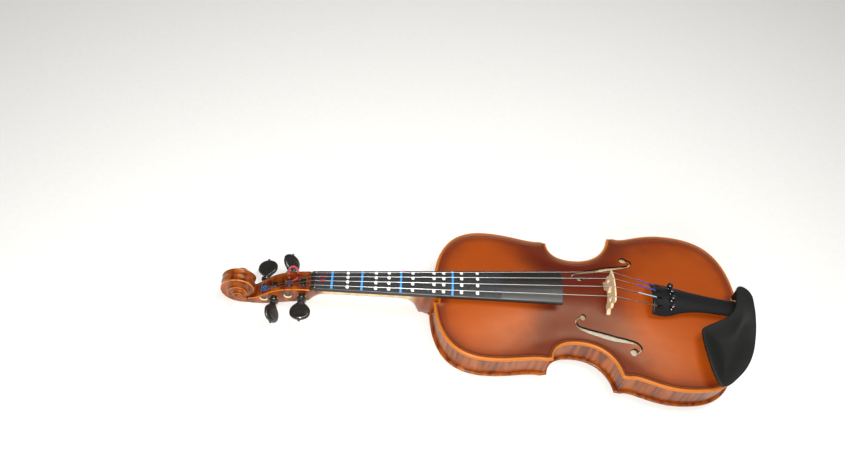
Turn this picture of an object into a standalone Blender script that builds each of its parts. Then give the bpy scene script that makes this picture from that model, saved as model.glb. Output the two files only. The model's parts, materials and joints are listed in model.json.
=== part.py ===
"""A full-size violin with its strings, pegs, fine tuners and chin rest, lying on its back.

X runs along the violin with the scroll at -X, +Y is the treble side and +Z is up, out of the belly.
Inside this file lengths are millimetres in the violin's own datum, where x = 0 is the neck end of
the body and z = 0 is the upper edge of the ribs. The empty violin_datum carries that datum.
"""

import math

import bpy
import bmesh
import numpy as np
from mathutils import Matrix, Vector
from mathutils.geometry import delaunay_2d_cdt

MM = 0.001
GAP = 0.3

BODY_LENGTH = 356.0
RIB_HEIGHT = 30.0
RIB_THICKNESS = 1.2
OVERHANG = 3.0
PLATE = 3.2
EDGE_BAND = 5.0
TOP_ARCH = 15.5
BACK_ARCH = 15.0
ARCH_POWER = 2.4

STRING_NAMES = ("e", "a", "d", "g")
STRING_RADIUS = {"e": 0.2, "a": 0.34, "d": 0.39, "g": 0.4}
STRING_SIDE = {"e": 1.5, "a": 0.5, "d": -0.5, "g": -1.5}
CLEARANCE = {"e": 3.5, "a": 4.2, "d": 4.8, "g": 5.5}
NUT_SPACING = 5.4
BRIDGE_SPACING = 11.2
TAIL_SPACING = 9.0

NECK_LENGTH = 130.0
NUT_LENGTH = 5.2
BOARD_END = 140.0
BOARD_WIDTH_NUT = 24.0
BOARD_WIDTH_END = 42.0
BOARD_EDGE = 4.8
BOARD_RADIUS = 42.0
BOARD_HOLLOW = 4.0
GLUE_AT_BODY = 10.0
GLUE_SLOPE = 0.1067
DECAL_END = 73.0

BRIDGE_X = 195.0
BRIDGE_FOOT_THICKNESS = 4.4
BRIDGE_TOP_THICKNESS = 1.5

PEG_X = {"g": -144.5, "e": -160.0, "d": -175.5, "a": -187.0}
PEG_Z = {"g": -14.5, "e": -18.5, "d": -25.5, "a": -31.0}
PEG_TURN = {"g": 12.0, "d": -28.0, "e": 40.0, "a": -15.0}

EYE_X = -213.5
EYE_Z = -19.0
VOLUTE_RADIUS = 27.0
VOLUTE_SHRINK = 0.102
VOLUTE_START = -65.0
VOLUTE_SWEEP = 840.0

TAILPIECE_FRONT = 243.0
TAILPIECE_END = 351.0
TAILPIECE_Z = 33.0
TAILPIECE_SLOPE = -0.145
TAILPIECE_CROWN = 26.0
TAILPIECE_WALL = 2.4
TUNER_PIVOT_X = 252.5
TUNER_SCREW_X = 265.0
TUNER_DROP = 9.0

SADDLE_HALF = 16.6
SADDLE_TOP = 8.5
BUTTON_Z = -13.0
CLAMP_X = 359.7
CLAMP_Y = 14.0

# Half outline of the body as cubic curves: upper bout, waist and lower bout.
UPPER = (((0, 0), (0, 60), (22, 84), (62, 84)), ((62, 84), (90, 84), (110, 76), (125.5, 78.5)))
WAIST = (((132.5, 77), (133, 64), (142, 55.2), (162, 55.2)), ((162, 55.2), (186, 55.2), (203, 68), (207.5, 92)))
LOWER = (((215, 93), (226, 88.5), (246, 103), (276, 103)), ((276, 103), (322, 103), (356, 88), (356, 0)))

# Half width of the arching along the body, which passes inside the corners.
ARCH_WIDTH = (
    (0, 40), (6, 57), (16, 66), (30, 76), (50, 82), (64, 83), (85, 80), (105, 72), (125, 63),
    (145, 56.5), (165, 55), (185, 58.5), (205, 69), (225, 83), (245, 94), (270, 101.5),
    (300, 101.5), (320, 96), (335, 86), (346, 72), (352, 58), (356, 40),
)

# x, top, bottom, half width at the top, and how much of that width is left at the bottom.
NECK_SECTIONS = (
    (5.6, None, -29.7, 16.1, 0.65), (0, None, -29.7, 16.1, 0.65), (-12.4, None, -29.7, 15.7, 0.65),
    (-14.5, None, -25.5, 15.6, 0.6), (-19, None, -17, 15.4, 0.45), (-26, None, -10, 15.1, 0.25),
    (-36, None, -6.6, 14.8, 0.12), (-70, None, -9.7, 13.8, 0.1), (-108, None, -13.8, 12.6, 0.1),
    (-124, None, -16.5, 12.1, 0.2), (-131, None, -20, 12.0, 0.5), (-135.7, None, -23, 12.5, 0.75),
    (-136.2, -1.8, -23.4, 12.8, 0.8), (-141, -2.2, -25, 12.7, 0.82), (-152, -3.8, -28.5, 12.3, 0.82),
    (-164, -7, -32.5, 11.8, 0.82), (-175, -12.5, -37, 11.2, 0.82), (-186, -21.5, -41.5, 10.4, 0.82),
    (-194, -29.5, -44, 9.8, 0.85), (-200, -33.5, -45, 9.4, 0.88), (-204.5, -35, -45, 9.0, 0.9),
)
# x, floor and half width of the hollow in the pegbox.
PEGBOX_HOLLOW = (
    (-137.2, -14, 8.2), (-152, -22.5, 7.9), (-164, -27, 7.5), (-175, -31.5, 7.0),
    (-186, -35.8, 6.3), (-192.5, -36.5, 5.8),
)

CHINREST_OUTLINE = (
    (297, -36), (296.5, -52), (299, -75), (304, -94), (309, -102.7), (317, -100.5), (329, -91),
    (341, -78), (351, -60), (358, -38), (362, -14), (362.8, 0), (362.5, 13), (358, 21),
    (349, 24.5), (340, 22.5), (335, 12), (331, 0), (324, -12), (313, -24), (303, -31),
)


# ---------------------------------------------------------------- plain geometry

def bezier(points, count, first=0.0, last=1.0):
    """Points along one cubic curve."""
    t = np.linspace(first, last, count)[:, None]
    p = np.array(points, float)
    return (1 - t) ** 3 * p[0] + 3 * t * (1 - t) ** 2 * p[1] + 3 * t * t * (1 - t) * p[2] + t ** 3 * p[3]


def joined(curves, counts, first=0.0, last=1.0):
    """Points along two curves that meet."""
    a = bezier(curves[0], counts[0], first, 1.0)
    b = bezier(curves[1], counts[1], 0.0, last)
    return np.vstack([a, b[1:]])


def offset_inwards(points, distance):
    """An open treble-side line moved toward the inside of the body."""
    along = np.gradient(points, axis=0)
    along /= np.linalg.norm(along, axis=1)[:, None]
    inward = np.stack([along[:, 1], -along[:, 0]], axis=1)
    return points + inward * distance


def mirrored(points):
    return np.array(points) * (1, -1)


def smooth_table(table, x):
    """A smooth curve through the rows of a table."""
    xs, ys = np.array(table, float).T
    slope = np.gradient(ys, xs)
    x = np.clip(np.asarray(x, float), xs[0], xs[-1])
    i = np.clip(np.searchsorted(xs, x) - 1, 0, len(xs) - 2)
    h = xs[i + 1] - xs[i]
    t = (x - xs[i]) / h
    return (
        (1 + 2 * t) * (1 - t) ** 2 * ys[i] + t * (1 - t) ** 2 * h * slope[i]
        + t * t * (3 - 2 * t) * ys[i + 1] + t * t * (t - 1) * h * slope[i + 1]
    )


def rise(x, y, height):
    """Height of the outer surface of a plate above its glued edge."""
    x = np.asarray(x, float)
    y = np.asarray(y, float)
    middle = BODY_LENGTH / 2
    long_arch = 1 - np.clip(np.abs(x - middle) / (middle - EDGE_BAND), 0, 1) ** ARCH_POWER
    across = np.clip(np.abs(y) / (smooth_table(ARCH_WIDTH, x) - EDGE_BAND), 0, 1)
    return PLATE + (height - PLATE) * long_arch * 0.5 * (1 + np.cos(np.pi * across ** 1.3))


def inside(polygon, points):
    """Which points are inside a closed polygon."""
    polygon = np.asarray(polygon)
    ends = np.roll(polygon, -1, axis=0)
    x, y = np.asarray(points).T[:2]
    found = np.zeros(len(x), bool)
    for (x0, y0), (x1, y1) in zip(polygon, ends):
        if y0 != y1:
            crossing = (y0 > y) != (y1 > y)
            found ^= crossing & (x < (x1 - x0) * (y - y0) / (y1 - y0) + x0)
    return found


def distance_to(polygon, points):
    """Distance of each point from the nearest side of a closed polygon."""
    a = np.asarray(polygon, float)
    b = np.roll(a, -1, axis=0)
    p = np.asarray(points, float)[:, None, :]
    side = b - a
    t = np.clip(((p - a) * side).sum(2) / np.maximum((side ** 2).sum(1), 1e-12), 0, 1)
    return np.linalg.norm(p - (a + t[..., None] * side), axis=2).min(1)


def board_top(x, y):
    """Height of the fingerboard's playing surface."""
    half = board_half(x)
    crown = math.sqrt(BOARD_RADIUS ** 2 - y * y) - math.sqrt(BOARD_RADIUS ** 2 - half * half)
    return glue_plane(x) + BOARD_EDGE + crown


def board_half(x):
    t = (x + NECK_LENGTH) / (BOARD_END + NECK_LENGTH)
    return (BOARD_WIDTH_NUT + (BOARD_WIDTH_END - BOARD_WIDTH_NUT) * t) / 2


def glue_plane(x):
    return GLUE_AT_BODY + GLUE_SLOPE * x


def string_line(name):
    """Where a string leaves the nut and where it crosses the bridge."""
    side = STRING_SIDE[name]
    nut = Vector((-NECK_LENGTH, side * NUT_SPACING, 0))
    bridge = Vector((BRIDGE_X, side * BRIDGE_SPACING, 0))
    share = (BOARD_END + NECK_LENGTH) / (BRIDGE_X + NECK_LENGTH)
    y_end = nut.y + (bridge.y - nut.y) * share
    nut.z = board_top(-NECK_LENGTH, nut.y) + 0.45 + STRING_RADIUS[name]
    bridge.z = nut.z + (board_top(BOARD_END, y_end) + CLEARANCE[name] - nut.z) / share
    return nut, bridge


def tailpiece_top(x, y):
    crown = TAILPIECE_CROWN - math.sqrt(TAILPIECE_CROWN ** 2 - y * y)
    return TAILPIECE_Z + TAILPIECE_SLOPE * (x - TAILPIECE_FRONT) - crown


# ---------------------------------------------------------------- Blender helpers

def clear_scene():
    for obj in list(bpy.data.objects):
        bpy.data.objects.remove(obj, do_unlink=True)


def make_collection(name):
    made = bpy.data.collections.new(name)
    bpy.context.scene.collection.children.link(made)
    return made


def material(name, colour, roughness=0.5, metallic=0.0):
    made = bpy.data.materials.get(name)
    if made is None:
        made = bpy.data.materials.new(name)
        made.use_nodes = True
        shader = made.node_tree.nodes["Principled BSDF"]
        shader.inputs["Base Color"].default_value = (*colour, 1)
        shader.inputs["Roughness"].default_value = roughness
        shader.inputs["Metallic"].default_value = metallic
        made.diffuse_color = (*colour, 1)
    return made


def place(obj, where=None, group=None):
    """Links an object into its collection and hangs it on the datum."""
    (group or VIOLIN).objects.link(obj)
    obj.parent = DATUM
    if where is not None:
        obj.matrix_local = Matrix(where)
    return obj


def from_mesh(name, points, faces, mat, where=None, group=None):
    """An object from points in millimetres, with its faces turned outward."""
    mesh = bpy.data.meshes.new(name)
    mesh.from_pydata([tuple(float(v) * MM for v in p) for p in points], [], [list(map(int, f)) for f in faces])
    mesh.validate()
    mesh.materials.append(mat)
    return place(bpy.data.objects.new(name, mesh), where, group)


def turn_outward(obj):
    work = bmesh.new()
    work.from_mesh(obj.data)
    bmesh.ops.remove_doubles(work, verts=work.verts, dist=1e-7)
    bmesh.ops.recalc_face_normals(work, faces=work.faces)
    work.to_mesh(obj.data)
    work.free()
    return obj


def at(x, y, z, turn=None):
    """A placing matrix for a point in millimetres."""
    made = Matrix.Translation(Vector((x, y, z)) * MM)
    return made if turn is None else made @ turn


def loft(name, sections, mat, where=None, group=None):
    """A closed body through sections that all have the same number of points."""
    count = len(sections[0])
    points = [p for section in sections for p in section]
    faces = []
    for i in range(len(sections) - 1):
        for j in range(count):
            k = (j + 1) % count
            faces.append((i * count + j, i * count + k, (i + 1) * count + k, (i + 1) * count + j))
    faces.append(tuple(range(count))[::-1])
    faces.append(tuple(range(len(points) - count, len(points))))
    return turn_outward(from_mesh(name, points, faces, mat, where, group))


def flat_piece(name, loops, thickness, mat, where=None, group=None):
    """A flat outline with its holes, as a filled curve of even thickness about its own plane."""
    curve = bpy.data.curves.new(name, "CURVE")
    curve.dimensions = "2D"
    curve.fill_mode = "BOTH"
    curve.extrude = thickness * MM / 2
    curve.materials.append(mat)
    for loop in loops:
        spline = curve.splines.new("POLY")
        spline.points.add(len(loop) - 1)
        for point, (u, v) in zip(spline.points, loop):
            point.co = (float(u) * MM, float(v) * MM, 0, 1)
        spline.use_cyclic_u = True
    return as_mesh(place(bpy.data.objects.new(name, curve), where, group))


def tube(name, points, radius, mat, resolution=1):
    """A round cord along straight runs between points."""
    curve = bpy.data.curves.new(name, "CURVE")
    curve.dimensions = "3D"
    curve.bevel_depth = radius * MM
    curve.bevel_resolution = resolution
    curve.use_fill_caps = True
    curve.materials.append(mat)
    spline = curve.splines.new("POLY")
    spline.points.add(len(points) - 1)
    for point, co in zip(spline.points, points):
        point.co = (*(float(v) * MM for v in co), 1)
    return as_mesh(place(bpy.data.objects.new(name, curve)))


def as_mesh(obj):
    """The same object as a welded mesh, so that a Boolean or a Bevel can use it."""
    bpy.context.view_layer.update()
    graph = bpy.context.evaluated_depsgraph_get()
    mesh = bpy.data.meshes.new_from_object(obj.evaluated_get(graph))
    name, where, group = obj.name, obj.matrix_local.copy(), obj.users_collection[0]
    bpy.data.objects.remove(obj, do_unlink=True)
    made = place(bpy.data.objects.new(name, mesh), where, group)
    made.name = name
    return turn_outward(made)


def turned(name, profile, mat, where=None, steps=16, group=None):
    """A turned piece about its own Z, from a profile that runs top to bottom down its outer side."""
    mesh = bpy.data.meshes.new(name)
    points = [(r * MM, 0, z * MM) for r, z in profile]
    mesh.from_pydata(points, [(i, i + 1) for i in range(len(points) - 1)], [])
    mesh.materials.append(mat)
    obj = place(bpy.data.objects.new(name, mesh), where, group)
    screw = obj.modifiers.new("turn", "SCREW")
    screw.steps = steps
    screw.render_steps = steps
    screw.use_merge_vertices = True
    screw.merge_threshold = 0.00001
    screw.use_smooth_shade = False
    return obj


def cylinder(name, radius, length, mat, where, steps=16, group=None):
    half = length / 2
    return turned(name, ((0, half), (radius, half), (radius, -half), (0, -half)), mat, where, steps, group)


def block(name, low, high, mat, group=None):
    """A box between two corners."""
    mesh = bpy.data.meshes.new(name)
    work = bmesh.new()
    bmesh.ops.create_cube(work, size=1)
    low = Vector(low) * MM
    high = Vector(high) * MM
    for vertex in work.verts:
        vertex.co = Vector((low[k] + (vertex.co[k] + 0.5) * (high[k] - low[k]) for k in range(3)))
    work.to_mesh(mesh)
    work.free()
    mesh.materials.append(mat)
    return place(bpy.data.objects.new(name, mesh), None, group)


def boolean(obj, other, operation="DIFFERENCE"):
    step = obj.modifiers.new(operation.lower(), "BOOLEAN")
    step.operation = operation
    step.solver = "EXACT"
    step.object = other
    return obj


def bevel(obj, width, segments=1, angle=30):
    step = obj.modifiers.new("bevel", "BEVEL")
    step.width = width * MM
    step.segments = segments
    step.limit_method = "ANGLE"
    step.angle_limit = math.radians(angle)
    return obj


def sheet(name, outline, holes, height, thickness, mat, spacing, extra=(), down=False):
    """A curved plate: a triangulated outline lifted to its height, then given thickness."""
    outline = np.asarray(outline, float)
    low, high = outline.min(0), outline.max(0)
    rows = np.arange(low[1] + spacing / 2, high[1], spacing * 0.866)
    grid = []
    for k, y in enumerate(rows):
        xs = np.arange(low[0] + spacing * (0.25 + 0.5 * (k % 2)), high[0], spacing)
        grid.extend((x, y) for x in xs)
    grid = np.array(grid)
    grid = grid[inside(outline, grid) & (distance_to(outline, grid) > spacing * 0.6)]
    loops = [outline] + [np.asarray(hole, float) for hole in holes]
    for hole in loops[1:]:
        grid = grid[~inside(hole, grid) & (distance_to(hole, grid) > spacing * 0.35)]
    if len(extra):
        extra = np.asarray(extra, float)
        extra = extra[inside(outline, extra) & (distance_to(outline, extra) > 2)]
        for hole in loops[1:]:
            extra = extra[~inside(hole, extra) & (distance_to(hole, extra) > 3)]
        gaps = np.linalg.norm(grid[:, None] - extra[None], axis=2).min(1)
        grid = np.vstack([grid[gaps > spacing * 0.5], extra])
    edges = []
    points = []
    for loop in loops:
        start = len(points)
        points.extend(loop)
        edges.extend((start + i, start + (i + 1) % len(loop)) for i in range(len(loop)))
    points.extend(grid)
    flat = [Vector((float(x), float(y))) for x, y in points]
    made, _, faces, _, _, _ = delaunay_2d_cdt(flat, edges, [], 0, 1e-4, False)
    made = np.array([tuple(v) for v in made])
    faces = np.array([tuple(f) for f in faces])
    middle = made[faces].mean(1)
    keep = inside(outline, middle)
    for hole in loops[1:]:
        keep &= ~inside(hole, middle)
    a, b, c = (made[faces[:, k]] for k in range(3))
    area = (b[:, 0] - a[:, 0]) * (c[:, 1] - a[:, 1]) - (b[:, 1] - a[:, 1]) * (c[:, 0] - a[:, 0])
    faces = np.where((area > 0)[:, None] != down, faces, faces[:, ::-1])[keep & (np.abs(area) > 1e-6)]
    used = np.unique(faces)
    index = np.full(len(made), -1)
    index[used] = np.arange(len(used))
    made = made[used]
    z = height(made[:, 0], made[:, 1])
    obj = from_mesh(name, np.column_stack([made, z]), index[faces], mat)
    shell = obj.modifiers.new("thickness", "SOLIDIFY")
    shell.thickness = thickness * MM
    shell.offset = -1
    return obj


# ---------------------------------------------------------------- body

def half_outline(start_y, end_y):
    """The treble side of the body from near the neck to near the end button."""
    upper = joined(UPPER, (60, 7))
    first = int(np.argmax(upper[:, 1] > start_y))
    keep = np.unique(np.r_[np.linspace(first, 59, 9).astype(int), np.arange(60, len(upper))])
    lower = joined(LOWER, (6, 80))
    last = len(lower) - 1 - int(np.argmax(lower[::-1, 1] > end_y))
    chosen = np.unique(np.r_[np.arange(0, 6), np.linspace(5, last, 11).astype(int)])
    return upper[keep], joined(WAIST, (6, 7)), lower[chosen]


def arch_ring():
    """Points along the line where the arching leaves the flat edge."""
    xs = np.r_[np.linspace(EDGE_BAND, 30, 6), np.linspace(42, 315, 24), np.linspace(325, 351, 6)]
    ring = [(x, s * (smooth_table(ARCH_WIDTH, x) - EDGE_BAND)) for x in xs for s in (1, -1)]
    for x in (EDGE_BAND + 2.5, BODY_LENGTH - EDGE_BAND - 2.5):
        ring.extend((x, y) for y in np.linspace(-46, 46, 11))
    return ring


def sound_hole(side):
    """One f-hole as three outlines that overlap: a curling stem and a round end at each tip."""
    path = np.array((
        (166.0, 24.6), (161.6, 26.4), (159.2, 30.4), (161.8, 34.8), (171, 38.2), (186, 42), (195, 44.4),
        (204, 46.6), (217, 49.0), (227.5, 51.8), (231.4, 56.6), (229.4, 60.4), (224.6, 61.8),
    ))
    width = np.array((1.8, 1.8, 1.9, 2.6, 4.4, 5.8, 6.2, 5.9, 4.6, 2.8, 2.1, 2.0, 2.0))
    along = np.gradient(path, axis=0)
    along /= np.linalg.norm(along, axis=1)[:, None]
    across = np.stack([-along[:, 1], along[:, 0]], axis=1) * width[:, None] / 2
    stem = np.vstack([path + across, (path - across)[::-1]])
    angles = np.linspace(0, 2 * math.pi, 10, endpoint=False)
    ring = np.column_stack([np.cos(angles), np.sin(angles)])
    upper = ring * 3.2 + (167.0, 25.2)
    lower = ring * 4.3 + (223.4, 61.0)
    return [loop * (1, side) for loop in (stem, upper, lower)]


def plates():
    upper, waist, lower = half_outline(17.0, 17.0)
    half = np.vstack([[(6.0, 17.0)], upper, waist, lower, [(349.0, 17.0)]])
    outline = np.vstack([half, mirrored(half)[::-1]])
    holes = sound_hole(1) + sound_hole(-1)
    spruce = material("spruce_varnished", (0.52, 0.17, 0.025), 0.32)
    maple = material("maple_varnished", (0.42, 0.11, 0.018), 0.3)
    sheet("top_plate", outline, holes, lambda x, y: rise(x, y, TOP_ARCH), PLATE, spruce, 15.0, arch_ring())
    upper, waist, lower = half_outline(13.0, 2.0)
    angles = np.radians(np.linspace(180, 90, 6))
    button = np.column_stack([-2 + 10.5 * np.cos(angles), 10.5 * np.sin(angles)])
    half = np.vstack([button[1:], upper, waist, lower])
    outline = np.vstack([button[:1], half, [(BODY_LENGTH, 0)], mirrored(half)[::-1]])
    sheet(
        "back_plate", outline, [], lambda x, y: -RIB_HEIGHT - rise(x, y, BACK_ARCH), PLATE, maple, 17.0,
        arch_ring(), down=True,
    )


def strip(name, line, offset, thickness, low, high, mat, side):
    """A bent strip that follows the inside of the outline."""
    outer = offset_inwards(line, offset)
    inner = offset_inwards(line, offset + thickness)
    sections = []
    for (xo, yo), (xi, yi) in zip(outer, inner):
        sections.append([(xo, yo * side, low), (xi, yi * side, low), (xi, yi * side, high), (xo, yo * side, high)])
    return loft(name, sections, mat)


def extended(line, start, end):
    """A line made longer or shorter at each end along its own direction."""
    line = np.array(line)
    first = line[0] - (line[1] - line[0]) / np.linalg.norm(line[1] - line[0]) * start
    last = line[-1] + (line[-1] - line[-2]) / np.linalg.norm(line[-1] - line[-2]) * end
    return np.vstack([[first], line[1:-1], [last]])


def ribs_and_blocks():
    maple = material("maple_ribs", (0.36, 0.09, 0.016), 0.3)
    spruce = material("spruce_bare", (0.62, 0.44, 0.24), 0.7)
    upper, waist, lower = half_outline(20.5, 4.0)
    bouts = {
        "upper": (extended(upper, 0, 2.2), upper[1:-3]),
        "waist": (extended(waist, -1.6, -1.6), waist[3:-4]),
        "lower": (extended(lower, 3.2, 0), lower[3:-3]),
    }
    button_hole = cylinder(
        "button_hole", 4.2, 60, maple, at(BODY_LENGTH, 0, BUTTON_Z, Matrix.Rotation(math.pi / 2, 4, "Y")), 16, CUTTERS
    )
    for side, word in ((1, "treble"), (-1, "bass")):
        for bout, (line, shorter) in bouts.items():
            rib = strip(
                f"rib_{bout}_{word}", line, OVERHANG, RIB_THICKNESS, -RIB_HEIGHT + GAP, -GAP, maple, side
            )
            if bout == "lower":
                boolean(rib, button_hole)
            strip(
                f"lining_{bout}_{word}", shorter, OVERHANG + RIB_THICKNESS + GAP, 2.0, -GAP - 7, -GAP, spruce, side
            )
        corner_blocks(word, side, upper, waist, lower, spruce)
    block("neck_block", (6.3, -24, -RIB_HEIGHT + GAP), (20, 24, -GAP), spruce)
    end = block("end_block", (337, -22, -RIB_HEIGHT + GAP), (350.4, 22, -GAP), spruce)
    boolean(end, button_hole)


def corner_blocks(word, side, upper, waist, lower, mat):
    """Solid blocks behind the four corners, bounded by the ribs on two sides."""
    depth = OVERHANG + RIB_THICKNESS + GAP
    upper_in = offset_inwards(upper, depth)[-3:]
    first_in = offset_inwards(waist, depth + 0.2)[1:4]
    lower_in = offset_inwards(lower, depth)[:3]
    last_in = offset_inwards(waist, depth + 0.2)[-4:-1]
    shapes = {
        "upper": np.vstack([upper_in[:-1], [(124.5, 73.2), (127.0, 71.5)], first_in]),
        "lower": np.vstack([last_in, [(212.8, 86.8), (215.5, 87.6)], lower_in[1:]]),
    }
    height = RIB_HEIGHT - 2 * GAP
    for end, shape in shapes.items():
        flat_piece(
            f"corner_block_{end}_{word}", [shape * (1, side)], height, mat, at(0, 0, -RIB_HEIGHT / 2)
        )


def bar_and_post():
    spruce = material("spruce_bare", (0.62, 0.44, 0.24), 0.7)
    sections = []
    for t in np.linspace(0, 1, 9):
        x = 42 + 270 * t
        y = -15.5 - 4.5 * t
        under = [float(rise(x, y + s, TOP_ARCH)) - PLATE - 1.0 for s in (-2.75, 2.75)]
        depth = 2.5 + 9.5 * math.sin(math.pi * t) ** 1.4
        low = min(under) - depth
        sections.append([(x, y - 2.75, under[0]), (x, y + 2.75, under[1]), (x, y + 2.75, low), (x, y - 2.75, low)])
    loft("bass_bar", sections, spruce)
    x, y, radius = 201.0, 19.0, 3.1
    rim = [(x + radius * math.cos(a), y + radius * math.sin(a)) for a in np.linspace(0, 2 * math.pi, 13)]
    top = min(float(rise(a, b, TOP_ARCH)) for a, b in rim) - PLATE - 0.6
    low = -RIB_HEIGHT - min(float(rise(a, b, BACK_ARCH)) for a, b in rim) + PLATE + 0.6
    cylinder("sound_post", radius, top - low, spruce, at(x, y, (top + low) / 2), 14)


# ---------------------------------------------------------------- neck, scroll and fingerboard

def cross_section(x, top, bottom, half, kept, count=6):
    """A neck section with a flat top and a rounded underside."""
    v = np.sin(np.linspace(0, math.pi / 2, count))
    reach = half * (kept + (1 - kept) * np.sqrt(1 - v * v))
    z = top + (bottom - top) * v
    left = [(x, -y, h) for y, h in zip(reach, z)]
    right = [(x, y, h) for y, h in zip(reach, z)]
    return left + right[::-1]


def volute(name, mat, step=20):
    """The scroll: two mirrored flights of a rising spiral, joined round the rim."""
    count = int(VOLUTE_SWEEP / step)
    turn = 360 // step
    eye = VOLUTE_RADIUS * math.exp(-VOLUTE_SHRINK * math.radians(VOLUTE_SWEEP))

    def radius(i):
        return max(VOLUTE_RADIUS * math.exp(-VOLUTE_SHRINK * math.radians(i * step)), eye)

    def half_width(i):
        table = ((0, 9.2), (110, 7.2), (200, 6.2), (290, 6.8), (380, 9), (470, 11.5), (560, 14),
                 (650, 16.5), (740, 19), (840, 20.5))
        return float(smooth_table(table, i * step))

    def spot(r, i, y):
        angle = math.radians(VOLUTE_START - i * step)
        return (EYE_X + r * math.cos(angle), y, EYE_Z + r * math.sin(angle))

    points, faces = [], []
    outer, inner = {}, {}
    for side in (1, -1):
        for i in range(count + 1):
            outer[side, i] = len(points)
            points.append(spot(radius(i), i, side * half_width(i)))
        for i in range(count):
            inner[side, i] = len(points)
            ahead = half_width(min(i + turn, count))
            lift = half_width(i) + 0.3 * (ahead - half_width(i))
            points.append(spot(radius(i + turn), i, side * lift))
        inner[side, count] = outer[side, count]
        for i in range(count):
            corners = (outer[side, i], outer[side, i + 1], inner[side, i + 1], inner[side, i])
            faces.append(tuple(dict.fromkeys(corners)))
            if i + turn + 1 <= count:
                above = (outer[side, i + turn], outer[side, i + turn + 1])
                faces.append((inner[side, i], inner[side, i + 1], above[1], above[0]))
        last = count - turn
        cap = [inner[side, i] for i in range(last + 1, count)] + [outer[side, count]]
        hub = len(points)
        points.append((EYE_X, side * (half_width(count) + 0.8), EYE_Z))
        for a, b in zip(cap[:-1], cap[1:]):
            faces.append((a, b, hub))
        faces.append((outer[side, count], cap[0], hub))
        faces.append((inner[side, last], inner[side, last + 1], outer[side, count]))
    for i in range(turn):
        faces.append((outer[1, i], outer[1, i + 1], outer[-1, i + 1], outer[-1, i]))
    faces.append((outer[1, 0], inner[1, 0], outer[1, turn], outer[-1, turn], inner[-1, 0], outer[-1, 0]))
    made = from_mesh(name, points, faces, mat, None, CUTTERS)
    return turn_outward(made)


def neck():
    maple = material("maple_neck", (0.42, 0.13, 0.025), 0.3)
    sections = []
    for x, top, bottom, half, kept in NECK_SECTIONS:
        level = glue_plane(x) - GAP / 2 if top is None else top
        sections.append(cross_section(x, level, bottom, half, kept))
    obj = loft("neck", sections, maple)
    boolean(obj, volute("volute", maple), "UNION")
    hollow = [
        [(x, -half, floor), (x, half, floor), (x, half, 8), (x, -half, 8)] for x, floor, half in PEGBOX_HOLLOW
    ]
    boolean(obj, loft("pegbox_hollow", hollow, maple, None, CUTTERS))
    for name in STRING_NAMES:
        hole = turned(
            f"peg_hole_{name}", ((0, 30), (4.5, 30), (3.6, -30), (0, -30)), maple, peg_matrix(name), 12, CUTTERS
        )
        boolean(obj, hole)


def peg_matrix(name):
    """A peg's own axis: its Z points out along the side that holds its head."""
    toward = 1 if name in ("e", "a") else -1
    turn = Matrix.Rotation(-toward * math.pi / 2, 4, "X")
    return at(PEG_X[name], 0, PEG_Z[name], turn @ Matrix.Rotation(math.radians(PEG_TURN[name]), 4, "Z"))


def fingerboard():
    ebony = material("ebony_board", (0.012, 0.011, 0.011), 0.35)
    sections = []
    for x in (-NECK_LENGTH, 2.0, BOARD_END):
        sections.append(board_section(x, BOARD_HOLLOW * max(0.0, (x - 2) / (BOARD_END - 2))))
    loft("fingerboard", sections, ebony)
    nut = []
    for x in (-NECK_LENGTH - NUT_LENGTH, -NECK_LENGTH - GAP):
        base = glue_plane(x) + GAP / 2
        ys = np.linspace(-11.6, 11.6, 9)
        nut.append([(x, y, board_top(-NECK_LENGTH, y) + 0.1 + GLUE_SLOPE * (x + NECK_LENGTH)) for y in ys]
                   + [(x, 11.6, base), (x, -11.6, base)])
    loft("nut", nut, ebony)
    film = material("decal_film", (0.03, 0.03, 0.03), 0.25)
    shape = []
    for x in (-NECK_LENGTH + 1, DECAL_END):
        ys = np.linspace(-1, 1, 9) * (board_half(x) - 1.2)
        shape.append([(x, y, board_top(x, y) + 0.42) for y in ys]
                     + [(x, y, board_top(x, y) + 0.24) for y in ys[::-1]])
    loft("fingerboard_decal", shape, film)


def board_section(x, hollow):
    half = board_half(x)
    base = glue_plane(x) + GAP / 2
    ys = np.linspace(-half, half, 11)
    top = [(x, y, board_top(x, y)) for y in ys]
    under = [(x, y, base + hollow * math.sqrt(max(0.0, 1 - (y / (half - 3)) ** 2)))
             for y in np.linspace(half - 3, 3 - half, 7)]
    return top + [(x, half, base)] + under + [(x, -half, base)]


# ---------------------------------------------------------------- pegs and strings

def pegs():
    ebony = material("ebony_peg", (0.012, 0.011, 0.011), 0.3)
    for name in STRING_NAMES:
        cheek = float(np.interp(-PEG_X[name], (136, 152, 164, 175, 186, 194), (12.8, 12.3, 11.8, 11.2, 10.4, 9.8)))
        collar = cheek + 3.4
        profile = (
            (1.0 - cheek, 3.3, 3.3), (collar, 3.95, 3.95), (collar + 0.5, 5.5, 5.5), (collar + 2.8, 5.5, 5.5),
            (collar + 3.4, 3.6, 3.4), (collar + 6.5, 4.8, 3.4), (collar + 10.5, 9.4, 4.3), (collar + 15, 11.7, 4.4),
            (collar + 20, 10.8, 3.8), (collar + 23.5, 7.6, 2.8), (collar + 25, 3.2, 1.8),
        )
        sections = []
        for z, wide, thick in profile:
            angles = np.linspace(0, 2 * math.pi, 12, endpoint=False)
            sections.append([(wide * math.cos(a), thick * math.sin(a), z) for a in angles])
        loft(f"peg_{name}", sections, ebony, peg_matrix(name))


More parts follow.
